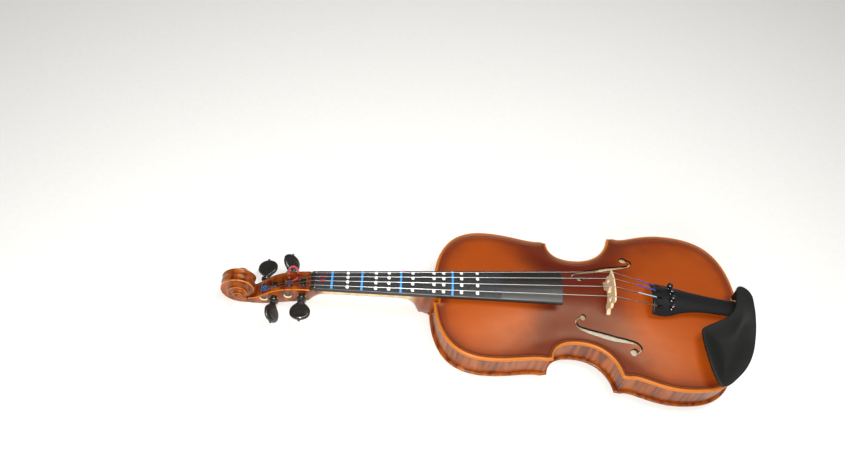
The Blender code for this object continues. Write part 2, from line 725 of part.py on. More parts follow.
def strings():
    for name in STRING_NAMES:
        steel = material(f"string_{name}", (0.6, 0.6, 0.6), 0.3, 1.0)
        side = STRING_SIDE[name]
        radius = STRING_RADIUS[name]
        nut, bridge = string_line(name)
        back = nut + Vector((-NUT_LENGTH, 0, -GLUE_SLOPE * NUT_LENGTH + 0.05))
        lift = 4.0 + radius + GAP
        toward = (Vector((PEG_X[name], 0, PEG_Z[name])) - back).normalized()
        peg_y = side * 2.6
        reach = Vector((PEG_X[name], peg_y, PEG_Z[name])) + Vector((-toward.z, 0, toward.x)).normalized() * -lift
        if reach.z < PEG_Z[name]:
            reach = Vector((PEG_X[name], peg_y, PEG_Z[name])) + Vector((-toward.z, 0, toward.x)).normalized() * lift
        anchor = Vector((TUNER_PIVOT_X - 6.2, side * TAIL_SPACING, 0))
        anchor.z = tailpiece_top(anchor.x, anchor.y) + radius + 0.5
        rise_over = Vector((0, 0, radius + GAP))
        points = [reach, back + rise_over * 0.6, nut + rise_over * 0.2, bridge + rise_over, anchor]
        tube(f"string_{name}", points, radius, steel)


def bridge():
    maple = material("maple_bridge", (0.66, 0.46, 0.24), 0.5)
    crown = [string_line(name)[1] for name in STRING_NAMES]
    fit = np.polyfit([p.y for p in crown], [p.z - STRING_RADIUS[n] for p, n in zip(crown, STRING_NAMES)], 2)
    foot = {}
    for y in (21.0, 10.5):
        foot[y] = float(rise(BRIDGE_X, y, TOP_ARCH)) + GAP + 0.15
    top = [(y, float(np.polyval(fit, y))) for y in np.linspace(-20.5, 20.5, 13)]
    low = foot[21.0]
    side = [
        (21.0, 41.0), (20.6, 39.2), (17.6, 35.5), (16.8, 32.6), (19.2, 29.6), (19.8, 26.4), (17.2, 23.8),
        (15.6, 21.2), (17.4, 18.0), (20.9, low + 2.2), (21.2, low),
    ]
    inner = [(10.2, foot[10.5]), (9.8, foot[10.5] + 2.4), (7.0, 20.6), (3.5, 22.4)]
    half = [(y, z) for y, z in side + inner]
    outline = top + half + [(-y, z) for y, z in half[::-1]]
    heart = [(0, 27.0), (3.2, 31.0), (4.4, 34.6), (2.9, 36.4), (1.3, 35.2), (0.9, 37.6), (0, 38.2)]
    heart = heart + [(-y, z) for y, z in heart[-2:0:-1]]
    kidney = [(9.0, 29.0), (12.2, 27.6), (14.6, 29.0), (13.8, 32.6), (11.4, 35.2), (9.4, 34.4), (10.6, 31.6)]
    loops = [outline, heart, kidney, [(-y, z) for y, z in kidney]]
    stand = Matrix(((0, 0, 1, 0), (1, 0, 0, 0), (0, 1, 0, 0), (0, 0, 0, 1)))
    obj = flat_piece("bridge", loops, BRIDGE_FOOT_THICKNESS, maple, at(BRIDGE_X, 0, 0, stand))
    for vertex in obj.data.vertices:
        up = min(1.0, max(0.0, (vertex.co.y / MM - low) / (crown[1].z - low)))
        vertex.co.z *= 1 + (BRIDGE_TOP_THICKNESS / BRIDGE_FOOT_THICKNESS - 1) * up
    return obj


# ---------------------------------------------------------------- tailpiece and tail end

def tailpiece_half(x):
    table = (
        (243, 20.0), (250, 20.5), (258, 20.2), (266, 18.8), (276, 15.8), (290, 12.8), (310, 11.0),
        (330, 10.4), (345, 10.4), (351, 9.2),
    )
    return float(smooth_table(table, x))


def tailpiece():
    black = material("composite_black", (0.014, 0.014, 0.015), 0.4)
    rows = (243, 250, 258, 266, 276, 290, 310, 330, 345, 351)
    across = np.linspace(-1, 1, 9)
    points = []
    for x in rows:
        half = tailpiece_half(x)
        points.extend((x, half * v, tailpiece_top(x, half * v)) for v in across)
    faces = []
    for i in range(len(rows) - 1):
        for j in range(len(across) - 1):
            a = i * len(across) + j
            faces.append((a, a + len(across), a + len(across) + 1, a + 1))
    obj = from_mesh("tailpiece", points, faces, black)
    shell = obj.modifiers.new("thickness", "SOLIDIFY")
    shell.thickness = TAILPIECE_WALL * MM
    shell.offset = -1
    for name in STRING_NAMES:
        y = STRING_SIDE[name] * TAIL_SPACING
        hole = cylinder(
            f"screw_hole_{name}", 1.7, 30, black, at(TUNER_SCREW_X, y, 26), 10, CUTTERS
        )
        boolean(obj, hole)
        low = (TUNER_PIVOT_X - 5.0, y - 1.6, 16)
        boolean(obj, block(f"lever_slot_{name}", low, (TUNER_PIVOT_X + 1.0, y + 1.6, 40), black, CUTTERS))


def tuners():
    steel = material("tuner_metal", (0.55, 0.55, 0.56), 0.3, 1.0)
    black = material("tuner_knob", (0.03, 0.03, 0.032), 0.35, 0.6)
    pivot_z = tailpiece_top(TUNER_PIVOT_X, 0) - TUNER_DROP
    upright = Matrix(((1, 0, 0, 0), (0, 0, -1, 0), (0, 1, 0, 0), (0, 0, 0, 1)))
    reach = TUNER_SCREW_X - TUNER_PIVOT_X
    for name in STRING_NAMES:
        y = STRING_SIDE[name] * TAIL_SPACING
        hook = tailpiece_top(TUNER_PIVOT_X - 3, y) - pivot_z + 0.1
        shape = [
            (-4.0, hook), (-2.2, hook - 1.6), (-0.8, hook), (-0.1, hook - 0.4), (-0.4, 1.8), (3, 0.4), (reach + 1.5, -1.9),
            (reach + 1.5, -3.5), (3, -2.2), (0, -2.4), (-2.2, -1.6), (-3.6, 1.4),
        ]
        flat_piece(f"tuner_lever_{name}", [shape], 2.4, steel, at(TUNER_PIVOT_X, y, pivot_z, upright))
        tip = pivot_z - 1.2
        face = tailpiece_top(TUNER_SCREW_X, y)
        neck_top = face + 2.2
        turned(
            f"tuner_screw_{name}", ((0, neck_top - tip), (1.25, neck_top - tip), (1.25, 0.6), (0.8, 0), (0, 0)),
            steel, at(TUNER_SCREW_X, y, tip), 10,
        )
        turned(
            f"tuner_knob_{name}", ((0, 4.6), (2.4, 4.6), (3.2, 4.0), (3.2, 0.6), (2.7, 0), (0, 0)), black,
            at(TUNER_SCREW_X, y, neck_top + GAP), 14,
        )


def tail_end():
    ebony = material("ebony_saddle", (0.012, 0.011, 0.011), 0.3)
    sections = []
    for y in np.linspace(-SADDLE_HALF, SADDLE_HALF, 7):
        top = SADDLE_TOP if abs(y) < 12 else 5.2
        sections.append([
            (349.4, y, 0.1), (349.4, y, top - 1.6), (351.6, y, top), (354.4, y, top - 0.4),
            (356.2, y, top - 2.4), (356.2, y, 0.1),
        ])
    loft("saddle", sections, ebony)
    turn = Matrix.Rotation(math.pi / 2, 4, "Y")
    turned(
        "end_button",
        ((0, 14), (4.6, 14), (6.6, 12.4), (6.8, 9.6), (5.6, 8.2), (3.4, 7.8), (3.4, 1.4), (4.9, 0.6), (4.9, 0.0),
         (3.75, -0.2), (3.3, -14), (0, -14)),
        ebony, at(BODY_LENGTH - OVERHANG + GAP, 0, BUTTON_Z, turn), 16,
    )
    cord = material("tail_cord", (0.02, 0.02, 0.02), 0.5)
    loop = [(359.3, 4.6 * math.cos(a), BUTTON_Z + 4.6 * math.sin(a)) for a in np.linspace(0, -math.pi, 9)]
    half = [(338, 4, 12.2), (350, 4, 10.6), (353.4, 4, 10.0), (356.6, 4.1, 8.4), (358.8, 4.4, 4.0)]
    path = half + loop + [(x, -y, z) for x, y, z in half[::-1]]
    tube("tail_gut", path, 1.05, cord, 1)


# ---------------------------------------------------------------- chin rest

def chinrest_top(x, y):
    """The chin rest's upper face: a rim with a shallow hollow on the bass side."""
    points = np.column_stack([x, y])
    inner = np.clip(distance_to(CHINREST_OUTLINE, points) / 24.0, 0, 1)
    hollow = inner * inner * (3 - 2 * inner)
    rim = 25.0 + 3.0 * np.clip((y + 45) / 45, 0, 1) - 3.0 * np.clip((-70 - y) / 30, 0, 1)
    return rim - 7.5 * hollow * np.clip((-y - 8) / 14, 0, 1)


def chinrest():
    black = material("chinrest_black", (0.013, 0.013, 0.013), 0.6)
    cork = material("cork", (0.42, 0.24, 0.12), 0.9)
    steel = material("clamp_nickel", (0.62, 0.62, 0.6), 0.25, 1.0)
    obj = sheet("chinrest_plate", CHINREST_OUTLINE, [], chinrest_top, 3.4, black, 13.0)
    for side, word, reach, top in ((1, "treble", (17.8, 22.6), 26), (-1, "bass", (17.8, 33.0), 21)):
        ys = sorted(side * v for v in reach)
        foot = block(f"chinrest_foot_{word}", (347.5, ys[0], 6.6), (354.5, ys[1], top), black, CUTTERS)
        boolean(obj, foot, "UNION")
        block(f"chinrest_cork_{word}", (347.5, ys[0], PLATE + 1.1), (354.5, ys[1], 6.3), cork)
        barrel = (-22.0, 9.0)
        turned(
            f"clamp_barrel_{word}",
            ((0, 15.5), (2.0, 15.5), (2.4, 15.0), (2.4, -15.0), (2.0, -15.5), (0, -15.5)), steel,
            at(CLAMP_X, side * CLAMP_Y, sum(barrel) / 2), 14,
        )
        cylinder(
            f"clamp_stud_{word}", 1.45, 12.4, steel, at(CLAMP_X, side * CLAMP_Y, barrel[1] + GAP + 6.2), 12
        )
    bottom = -RIB_HEIGHT - PLATE
    foot = block("clamp_foot", (349.6, -18, bottom - 5.0), (362, 18, bottom - 3.2), steel)
    for side in (1, -1):
        leg = cylinder(
            f"clamp_leg_{side + 1}", 1.45, 14.0, steel, at(CLAMP_X, side * CLAMP_Y, -22 - GAP - 7.0 - 0.5), 12, CUTTERS
        )
        boolean(foot, leg, "UNION")
    block("clamp_cork", (350.4, -18, bottom - 2.9), (355.8, 18, bottom - 0.6), cork)


clear_scene()
VIOLIN = make_collection("violin")
CUTTERS = make_collection("cutters")
CUTTERS.hide_render = True
DATUM = bpy.data.objects.new("violin_datum", None)
bpy.context.scene.collection.objects.link(DATUM)
DATUM.location = (-65.985 * MM, 0, (RIB_HEIGHT + BACK_ARCH) * MM)

plates()
ribs_and_blocks()
bar_and_post()
neck()
fingerboard()
pegs()
strings()
bridge()
tailpiece()
tuners()
tail_end()
chinrest()

for helper in CUTTERS.objects:
    helper.hide_render = True
    helper.display_type = "WIRE"
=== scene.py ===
"""Looks of a full-size violin lying on its back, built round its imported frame.

The file is laid out as an add-on. The sizes and colours that a user would change are properties,
one operator makes each piece or group of like pieces, and a panel in the 3D view lists them.
Lengths inside the script are millimetres from the violin's own datum, where x = 0 is the neck end
of the body, z = 0 is the upper edge of the ribs and +y is the treble side.
"""

import json
import math

import bmesh
import bpy
import numpy as np
from bpy.props import FloatProperty, FloatVectorProperty, IntProperty, PointerProperty
from mathutils import Matrix, Vector
from mathutils.geometry import delaunay_2d_cdt


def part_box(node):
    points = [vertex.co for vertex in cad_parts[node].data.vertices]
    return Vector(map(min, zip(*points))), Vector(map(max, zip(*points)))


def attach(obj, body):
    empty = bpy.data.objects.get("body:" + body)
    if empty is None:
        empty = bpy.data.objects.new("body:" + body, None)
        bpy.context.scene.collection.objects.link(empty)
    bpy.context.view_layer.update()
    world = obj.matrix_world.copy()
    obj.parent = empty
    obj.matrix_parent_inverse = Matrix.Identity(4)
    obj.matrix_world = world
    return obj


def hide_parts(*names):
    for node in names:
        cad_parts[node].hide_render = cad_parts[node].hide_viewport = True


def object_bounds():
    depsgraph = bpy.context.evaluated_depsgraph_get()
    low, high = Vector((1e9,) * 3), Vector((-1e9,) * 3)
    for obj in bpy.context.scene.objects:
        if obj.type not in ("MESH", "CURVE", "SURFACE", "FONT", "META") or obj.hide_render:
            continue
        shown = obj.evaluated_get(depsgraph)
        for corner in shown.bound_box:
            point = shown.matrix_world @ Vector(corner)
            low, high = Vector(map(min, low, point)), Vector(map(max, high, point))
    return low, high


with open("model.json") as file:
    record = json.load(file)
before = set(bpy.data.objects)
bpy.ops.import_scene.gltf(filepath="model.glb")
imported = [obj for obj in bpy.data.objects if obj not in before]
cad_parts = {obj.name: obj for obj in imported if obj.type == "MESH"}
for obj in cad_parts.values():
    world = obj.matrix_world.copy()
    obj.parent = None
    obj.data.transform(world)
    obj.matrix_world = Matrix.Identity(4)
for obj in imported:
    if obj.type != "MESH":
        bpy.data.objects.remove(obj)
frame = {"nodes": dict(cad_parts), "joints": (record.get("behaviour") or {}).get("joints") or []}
CAD_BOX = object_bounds()

bl_info = {
    "name": "Violin",
    "version": (1, 0, 0),
    "blender": (4, 5, 0),
    "location": "3D View > Sidebar > Violin",
    "description": "Makes a full-size violin with its fittings, one piece at a time",
    "category": "Object",
}

MM = 0.001
GAP = 0.3
NECK_LENGTH = 130.0

# The datum in the frame: the fingerboard starts a neck length before it, the ribs end a gap below it.
DATUM = np.array((
    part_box("fingerboard")[0].x + NECK_LENGTH * MM, 0.0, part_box("rib_upper_bass")[1].z + GAP * MM,
))


def low(node_name):
    """A node's lowest corner, in millimetres from the datum."""
    return (np.array(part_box(node_name)[0]) - DATUM) / MM


def high(node_name):
    """A node's highest corner, in millimetres from the datum."""
    return (np.array(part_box(node_name)[1]) - DATUM) / MM


def middle(node_name):
    """The middle of a node's box, in millimetres from the datum."""
    return (low(node_name) + high(node_name)) / 2


BODY_LENGTH = high("back_plate")[0]
RIB_HEIGHT = 30.0
RIB_THICKNESS = 1.2
OVERHANG = 3.0
BELLY_ARCH = high("top_plate")[2]
BACK_ARCH = -RIB_HEIGHT - low("back_plate")[2]
PLATE = 3.2
EDGE_BAND = 5.0
ARCH_POWER = 2.4

STRING_NAMES = ("e", "a", "d", "g")
STRING_RADIUS = {"e": 0.2, "a": 0.34, "d": 0.39, "g": 0.42}
STRING_SIDE = {"e": 1.5, "a": 0.5, "d": -0.5, "g": -1.5}
CLEARANCE = {"e": 3.5, "a": 4.2, "d": 4.8, "g": 5.5}
NUT_SPACING = 5.4
BRIDGE_SPACING = 11.2
TAIL_SPACING = 9.0
PEG_SPACING = 2.6
PEGBOX_HALF = 6.8
NUT_LENGTH = 5.2

BOARD_END = high("fingerboard")[0]
BOARD_WIDTH_NUT = 24.0
BOARD_WIDTH_END = 42.0
BOARD_EDGE = 4.8
BOARD_RADIUS = 42.0
BOARD_HOLLOW = 4.0
GLUE_AT_BODY = 10.0
GLUE_SLOPE = 0.1067
MARK_LENGTH = 319.0

BRIDGE_X = middle("bridge")[0]
BRIDGE_FOOT_THICKNESS = 4.4
BRIDGE_TOP_THICKNESS = 1.5

PEG_TURN = {"g": 2.0, "d": -52.0, "e": 40.0, "a": -15.0}
PEG_JOINTS = {joint["child"]: joint for joint in frame["joints"]}
PEG_SHAFT = 3.6
# Which way each peg's head points: 1 is the treble side.
PEG_SIDE = {"e": 1, "a": 1, "d": -1, "g": -1}
KNURL_RADIUS = 0.0003

EYE_X = -213.5
EYE_Z = -19.8
VOLUTE_RADIUS = 25.6
VOLUTE_SHRINK = 0.09
VOLUTE_START = -65.0
VOLUTE_SWEEP = 1080
TERRACE_LIFT = 0.35
# Degrees round the scroll and the half width of its edge there.
VOLUTE_WIDTH = (
    (0, 9.2), (110, 8.4), (200, 8.2), (290, 8.6), (380, 9.8), (470, 11.2), (560, 12.6), (650, 13.9),
    (740, 15.1), (840, 16.4), (960, 17.6), (1080, 18.2),
)

TAILPIECE_FRONT = low("tailpiece")[0]
TAILPIECE_Z = 33.0
TAILPIECE_SLOPE = -0.145
TAILPIECE_CROWN = 26.0
TAILPIECE_WALL = 2.4
TUNER_PIVOT_X = 252.5
TUNER_SCREW_X = middle("tuner_screw_e")[0]
TUNER_DROP = 9.0
BUTTON_Z = middle("end_button")[2]
CLAMP_X = middle("clamp_barrel_bass")[0]
CLAMP_Y = middle("clamp_barrel_treble")[1]

# Tint of the gloss that a warm spirit varnish gives.
VARNISH_GLOSS = (1.0, 0.84, 0.5, 1.0)

# Half outline of the body as cubic curves: upper bout, waist and lower bout.
UPPER = (((0, 0), (0, 60), (22, 84), (62, 84)), ((62, 84), (90, 84), (110, 76), (125.5, 78.5)))
WAIST = (
    ((132.5, 77), (133, 64), (142, 55.2), (162, 55.2)),
    ((162, 55.2), (186, 55.2), (203, 68), (207.5, 92)),
)
LOWER = (((215, 93), (226, 88.5), (246, 103), (276, 103)), ((276, 103), (322, 103), (356, 88), (356, 0)))

# Half width of the arching along the body, which passes inside the corners.
ARCH_WIDTH = (
    (0, 40), (6, 57), (16, 66), (30, 76), (50, 82), (64, 83), (85, 80), (105, 72), (125, 63),
    (145, 56.5), (165, 55), (185, 58.5), (205, 69), (225, 83), (245, 94), (270, 101.5),
    (300, 101.5), (320, 96), (335, 86), (346, 72), (352, 58), (356, 40),
)

# x, underside, half width at the top, and how much of that width is left at the underside.
NECK_SHAPE = (
    (-204.5, -44.4, 9.0, 0.9), (-200, -44.9, 9.4, 0.88), (-194, -44.7, 9.8, 0.85), (-186, -43.2, 10.4, 0.82),
    (-175, -39.6, 11.2, 0.82), (-164, -35, 11.8, 0.82), (-152, -30.8, 12.3, 0.82), (-141, -27, 12.7, 0.82),
    (-136.2, -25.2, 12.8, 0.8), (-135.7, -24.8, 12.5, 0.75), (-131, -21, 12.0, 0.5), (-124, -16.8, 12.1, 0.2),
    (-108, -13.8, 12.6, 0.1), (-70, -9.7, 13.8, 0.1), (-36, -6.6, 14.8, 0.12), (-26, -10, 15.1, 0.25),
    (-19, -17, 15.4, 0.45), (-14.5, -25.5, 15.6, 0.6), (-12.4, -29.7, 15.7, 0.65), (0, -29.7, 16.1, 0.65),
    (5.6, -29.7, 16.1, 0.65),
)
# x and the height of the pegbox's upper edge.
PEGBOX_EDGE = (
    (-204.5, -35), (-200, -33.5), (-194, -29.5), (-186, -21.5), (-175, -12.5), (-164, -7), (-152, -3.8),
    (-141, -2.2), (-136.2, -1.8),
)
# x, floor and half width of the hollow in the pegbox.
PEGBOX_HOLLOW = (
    (-192.5, -36.5, 5.8), (-186, -35.8, 6.3), (-175, -31.5, 7.0), (-164, -27, 7.5), (-152, -22.5, 7.9),
    (-137.2, -14, 8.2),
)
# x and half width of the tailpiece.
TAILPIECE_SHAPE = (
    (243, 20.0), (250, 20.5), (258, 20.2), (266, 18.8), (276, 15.8), (290, 12.8), (310, 11.0),
    (330, 10.4), (345, 10.4), (351, 9.2),
)
CHINREST_OUTLINE = (
    (297, -36), (296.5, -52), (299, -75), (304, -94), (309, -102.3), (317, -100.5), (329, -91),
    (341, -78), (351, -60), (358, -38), (362, -14), (362.8, 0), (362.5, 13), (358, 21),
    (351, 24.5), (346.5, 22), (344, 12), (341.5, 1), (337, -9), (328, -18), (313, -26), (302.5, -31.5),
)
# The stem of an f-hole, from its upper tip to its lower one: x, y and width.
SOUND_HOLE_STEM = (
    (166.0, 24.6, 1.8), (161.6, 26.4, 1.8), (159.2, 30.4, 1.9), (161.8, 34.8, 2.6), (171, 38.2, 4.4),
    (186, 42, 5.8), (195, 44.4, 6.2), (204, 46.6, 5.9), (217, 49.0, 4.6), (227.5, 51.8, 2.8),
    (231.4, 56.6, 2.1), (229.4, 60.4, 2.0), (224.6, 61.8, 2.0),
)


def linear(code):
    """A colour in linear light, from its sRGB hex code or as it is."""
    if not isinstance(code, str):
        return tuple(code)
    parts = [int(code[i:i + 2], 16) / 255 for i in (1, 3, 5)]
    return tuple(c / 12.92 if c <= 0.04045 else ((c + 0.055) / 1.055) ** 2.4 for c in parts)


# ---------------------------------------------------------------- sizes and colours to change

def size_property(name, description, default, least, most):
    """A size in metres, or a whole number, that a user may change."""
    limits = {"name": name, "description": description, "default": default, "min": least, "max": most}
    return IntProperty(**limits) if isinstance(most, int) else FloatProperty(**limits, unit="LENGTH")


def angle_property(name, description, degrees):
    """An angle that a user may change."""
    return FloatProperty(
        name=name, description=description, default=math.radians(degrees), subtype="ANGLE", unit="ROTATION",
    )


def colour_property(name, description, code):
    """A finish's colour that a user may change."""
    return FloatVectorProperty(
        name=name, description=description, default=linear(code), subtype="COLOR", min=0, max=1,
    )


class ViolinBodySizes(bpy.types.PropertyGroup):
    """Sizes of the soundbox."""

    belly_arch: size_property("Belly arching", "Height above the ribs", BELLY_ARCH * MM, 0.008, 0.02)
    back_arch: size_property("Back arching", "Depth below the ribs", BACK_ARCH * MM, 0.008, 0.02)
    thickness: size_property("Plate thickness", "Thickness of the belly and the back", 0.003, 0.002, 0.005)
    bead: size_property("Edge bead", "How far the edge stands above its channel", 0.0011, 0.0, 0.002)
    bead_width: size_property("Edge rounding", "Width of the edge, out to its crest", 0.002, 0.001, 0.003)
    channel: size_property("Channel", "Distance of the channel's bottom from the edge", 0.0068, 0.005, 0.01)
    purfling_inset: size_property("Purfling inset", "Its distance from the edge", 0.0045, 0.003, 0.006)
    purfling_width: size_property("Purfling width", "Width of its three strips", 0.0013, 0.0005, 0.002)


class ViolinNeckSizes(bpy.types.PropertyGroup):
    """Sizes of the neck and scroll."""

    scroll_step: size_property("Scroll step", "Degrees between the scroll's stations", 6, 4, 20)
    chamfer: size_property("Scroll chamfer", "Width of the chamfer along its edge", 0.0009, 0.0, 0.002)
    flute: size_property("Flute depth", "Depth of the two flutes down the scroll's back", 0.0014, 0.0, 0.003)
    trough: size_property("Trough depth", "Hollowing of the scroll's terraces", 0.0009, 0.0, 0.002)


class ViolinFittingSizes(bpy.types.PropertyGroup):
    """Sizes of the strings' dress, the finger marks and the small fittings."""

    dot_radius: size_property("Dot radius", "Radius of a finger mark's dot", 0.0021, 0.0005, 0.003)
    line_width: size_property("Line width", "Width of a finger mark's line", 0.003, 0.0005, 0.004)
    silk: size_property("Silk length", "Length of the silk at a string's tail end", 0.024, 0.0, 0.05)
    windings: size_property("Windings", "Turns of string round each peg", 6, 1, 12)
    knurls: size_property("Knurls", "Ribs round each fine tuner's knob", 22, 6, 40)


class ViolinColours(bpy.types.PropertyGroup):
    """Colours of the finishes."""

    belly: colour_property("Belly", "Amber varnish in the middle of the bouts", "#9E4207")
    # The waist colour is partly the varnish's sunburst and partly painted shade at the waist, the ends and in
    # the channel.
    waist: colour_property("Waist", "Red-brown shading of the varnish at the waist and edges", "#5C1402")
    # The rim colour also brightens the scroll's chamfers and the pegbox's upper edges, where it is partly a
    # painted highlight.
    rim: colour_property("Rim", "Lighter varnish where the raised edge is rubbed", "#CC741C")
    maple: colour_property("Maple", "Varnish on the bright flames of the maple", "#A04E10")
    maple_dark: colour_property("Maple flame", "Varnish on the dark flames of the maple", "#5C1D05")
    bare: colour_property("Bare wood", "Unvarnished spruce and maple", "#F2DFB8")
    ebony: colour_property("Ebony", "Black-brown of the oiled ebony", "#15120F")
    line: colour_property("Lines", "Ink of the finger marks' lines", "#2C95E8")
    dot: colour_property("Dots", "Ink of the finger marks' dots", "#F2EDEB")
    floor: colour_property("Floor", "Paper that the violin lies on", "#E9E8E4")


class ViolinStage(bpy.types.PropertyGroup):
    """The camera, lights and floor."""

    eye: FloatVectorProperty(
        name="Camera", description="Where the camera stands",
        default=(-0.169, -0.546, 0.886), subtype="TRANSLATION", unit="LENGTH", size=3,
    )
    azimuth: angle_property("Azimuth", "Turn of the camera round the violin from its bass side", -8.21)
    elevation: angle_property("Elevation", "Angle at which the camera looks down", 53.23)
    roll: angle_property("Roll", "Turn of the camera about its own line of sight", -11.87)
    lens: FloatProperty(name="Lens", description="Focal length", default=38.34, min=10, max=200)
    floor_size: size_property("Floor", "Side of the square floor", 8.0, 2.0, 20.0)


# ---------------------------------------------------------------- plain geometry

def bezier(points, count):
    """Points along one cubic curve."""
    t = np.linspace(0.0, 1.0, count)[:, None]
    p = np.array(points, float)
    return (1 - t) ** 3 * p[0] + 3 * t * (1 - t) ** 2 * p[1] + 3 * t * t * (1 - t) * p[2] + t ** 3 * p[3]


def evenly(points, pitch):
    """The same line with points about a pitch apart."""
    points = np.asarray(points, float)
    run = np.r_[0, np.cumsum(np.linalg.norm(np.diff(points, axis=0), axis=1))]
    stops = np.linspace(0, run[-1], max(2, int(round(run[-1] / pitch)) + 1))
    return np.column_stack([np.interp(stops, run, points[:, k]) for k in range(points.shape[1])])


def spline(points, pitch, closed=False):
    """A smooth line through points, which rounds each of them off."""
    p = np.asarray(points, float)
    if closed:
        p = np.vstack([p[-1:], p, p[:2]])
    else:
        p = np.vstack([2 * p[0] - p[1], p, 2 * p[-1] - p[-2]])
    pieces = []
    for a, b, c, d in zip(p[:-3], p[1:-2], p[2:-1], p[3:]):
        back, here, ahead = (np.sqrt(max(np.linalg.norm(step), 1e-6)) for step in (b - a, c - b, d - c))
        leave = (c - b) + ((b - a) / back - (c - a) / (back + here)) * here
        arrive = (c - b) + ((d - c) / ahead - (d - b) / (here + ahead)) * here
        t = np.linspace(0, 1, 13)[:-1, None]
        pieces.append(
            (1 + 2 * t) * (1 - t) ** 2 * b + t * (1 - t) ** 2 * leave + t * t * (3 - 2 * t) * c
            + t * t * (t - 1) * arrive
        )
    line = evenly(np.vstack(pieces + [p[-2:-1]]), pitch)
    return line[:-1] if closed else line


def smooth_table(table, x):
    """A smooth curve through the rows of a table."""
    xs, ys = np.array(table, float).T
    return hermite(xs, ys, np.gradient(ys, xs), x)


def steady_table(rows, column, x):
    """A smooth curve through one column of a table, which never swings past its rows."""
    rows = np.array(rows, float)
    xs, ys = rows[:, 0], rows[:, column]
    step = np.diff(ys) / np.diff(xs)
    slope = np.zeros(len(xs))
    both = step[:-1] * step[1:] > 0
    slope[1:-1][both] = 2 * step[:-1][both] * step[1:][both] / (step[:-1] + step[1:])[both]
    slope[0], slope[-1] = step[0], step[-1]
    return hermite(xs, ys, slope, x)


def hermite(xs, ys, slope, x):
    """Cubic steps between points whose slopes are known."""
    x = np.clip(np.asarray(x, float), xs[0], xs[-1])
    i = np.clip(np.searchsorted(xs, x) - 1, 0, len(xs) - 2)
    h = xs[i + 1] - xs[i]
    t = (x - xs[i]) / h
    return (
        (1 + 2 * t) * (1 - t) ** 2 * ys[i] + t * (1 - t) ** 2 * h * slope[i]
        + t * t * (3 - 2 * t) * ys[i + 1] + t * t * (t - 1) * h * slope[i + 1]
    )


def ease(t):
    """A soft step from 0 to 1."""
    t = np.clip(t, 0, 1)
    return t * t * (3 - 2 * t)


def round_over(distance, width, drop):
    """How far a rounded edge has fallen at a distance from the rim."""
    t = 1 - np.clip(np.asarray(distance, float) / width, 0, 1)
    return drop * (1 - np.sqrt(1 - t * t))


def inside(polygon, points):
    """Which points are inside a closed polygon."""
    polygon = np.asarray(polygon)
    x, y = np.asarray(points).T[:2]
    found = np.zeros(len(x), bool)
    for (x0, y0), (x1, y1) in zip(polygon, np.roll(polygon, -1, axis=0)):
        if y0 != y1:
            found ^= ((y0 > y) != (y1 > y)) & (x < (x1 - x0) * (y - y0) / (y1 - y0) + x0)
    return found


def distance_to(polygon, points):
    """Distance of each point from the nearest side of a closed polygon."""
    a = np.asarray(polygon, float)
    side = np.roll(a, -1, axis=0) - a
    length = np.maximum((side ** 2).sum(1), 1e-12)
    nearest = []
    for some in np.array_split(np.asarray(points, float), max(1, len(points) // 400)):
        x = some[:, 0, None] - a[:, 0]
        y = some[:, 1, None] - a[:, 1]
        t = np.clip((x * side[:, 0] + y * side[:, 1]) / length, 0, 1)
        nearest.append(np.sqrt(((x - t * side[:, 0]) ** 2 + (y - t * side[:, 1]) ** 2).min(1)))
    return np.concatenate(nearest)


def unit(rows):
    """Each row of a table of vectors at length 1."""
    return rows / np.maximum(np.linalg.norm(rows, axis=1), 1e-9)[:, None]


def across_of(along):
    """Directions in the plane, each turned clockwise by a right angle."""
    return np.stack([along[:, 1], -along[:, 0]], axis=1)


def inward_of(line):
    """Unit normals of a treble-side line, toward the inside of the body."""
    return across_of(unit(np.gradient(line, axis=0)))


def mirrored(points):
    return np.array(points) * (1, -1)


def rise(x, y, height):
    """Height of the outer surface of a plate above its glued edge."""
    x = np.asarray(x, float)
    y = np.asarray(y, float)
    centre = BODY_LENGTH / 2
    long_arch = 1 - np.clip(np.abs(x - centre) / (centre - EDGE_BAND), 0, 1) ** ARCH_POWER
    across = np.clip(np.abs(y) / (smooth_table(ARCH_WIDTH, x) - EDGE_BAND), 0, 1)
    return PLATE + (height - PLATE) * long_arch * 0.5 * (1 + np.cos(np.pi * across ** 1.3))


def glue_plane(x):
    return GLUE_AT_BODY + GLUE_SLOPE * x


def board_half(x):
    t = (x + NECK_LENGTH) / (BOARD_END + NECK_LENGTH)
    return (BOARD_WIDTH_NUT + (BOARD_WIDTH_END - BOARD_WIDTH_NUT) * t) / 2


def board_top(x, y):
    """Height of the fingerboard's playing surface."""
    crown = np.sqrt(BOARD_RADIUS ** 2 - np.square(y)) - np.sqrt(BOARD_RADIUS ** 2 - board_half(x) ** 2)
    return glue_plane(x) + BOARD_EDGE + crown


def string_line(name):
    """Where a string leaves the nut and where it crosses the bridge."""
    side = STRING_SIDE[name]
    nut = Vector((-NECK_LENGTH, side * NUT_SPACING, 0))
    bridge = Vector((BRIDGE_X, side * BRIDGE_SPACING, 0))
    share = (BOARD_END + NECK_LENGTH) / (BRIDGE_X + NECK_LENGTH)
    y_end = nut.y + (bridge.y - nut.y) * share
    nut.z = board_top(-NECK_LENGTH, nut.y) + 0.45 + STRING_RADIUS[name]
    bridge.z = nut.z + (board_top(BOARD_END, y_end) + CLEARANCE[name] - nut.z) / share
    return nut, bridge


def tailpiece_top(x, y):
    crown = TAILPIECE_CROWN - np.sqrt(TAILPIECE_CROWN ** 2 - np.square(y))
    return TAILPIECE_Z + TAILPIECE_SLOPE * (x - TAILPIECE_FRONT) - crown


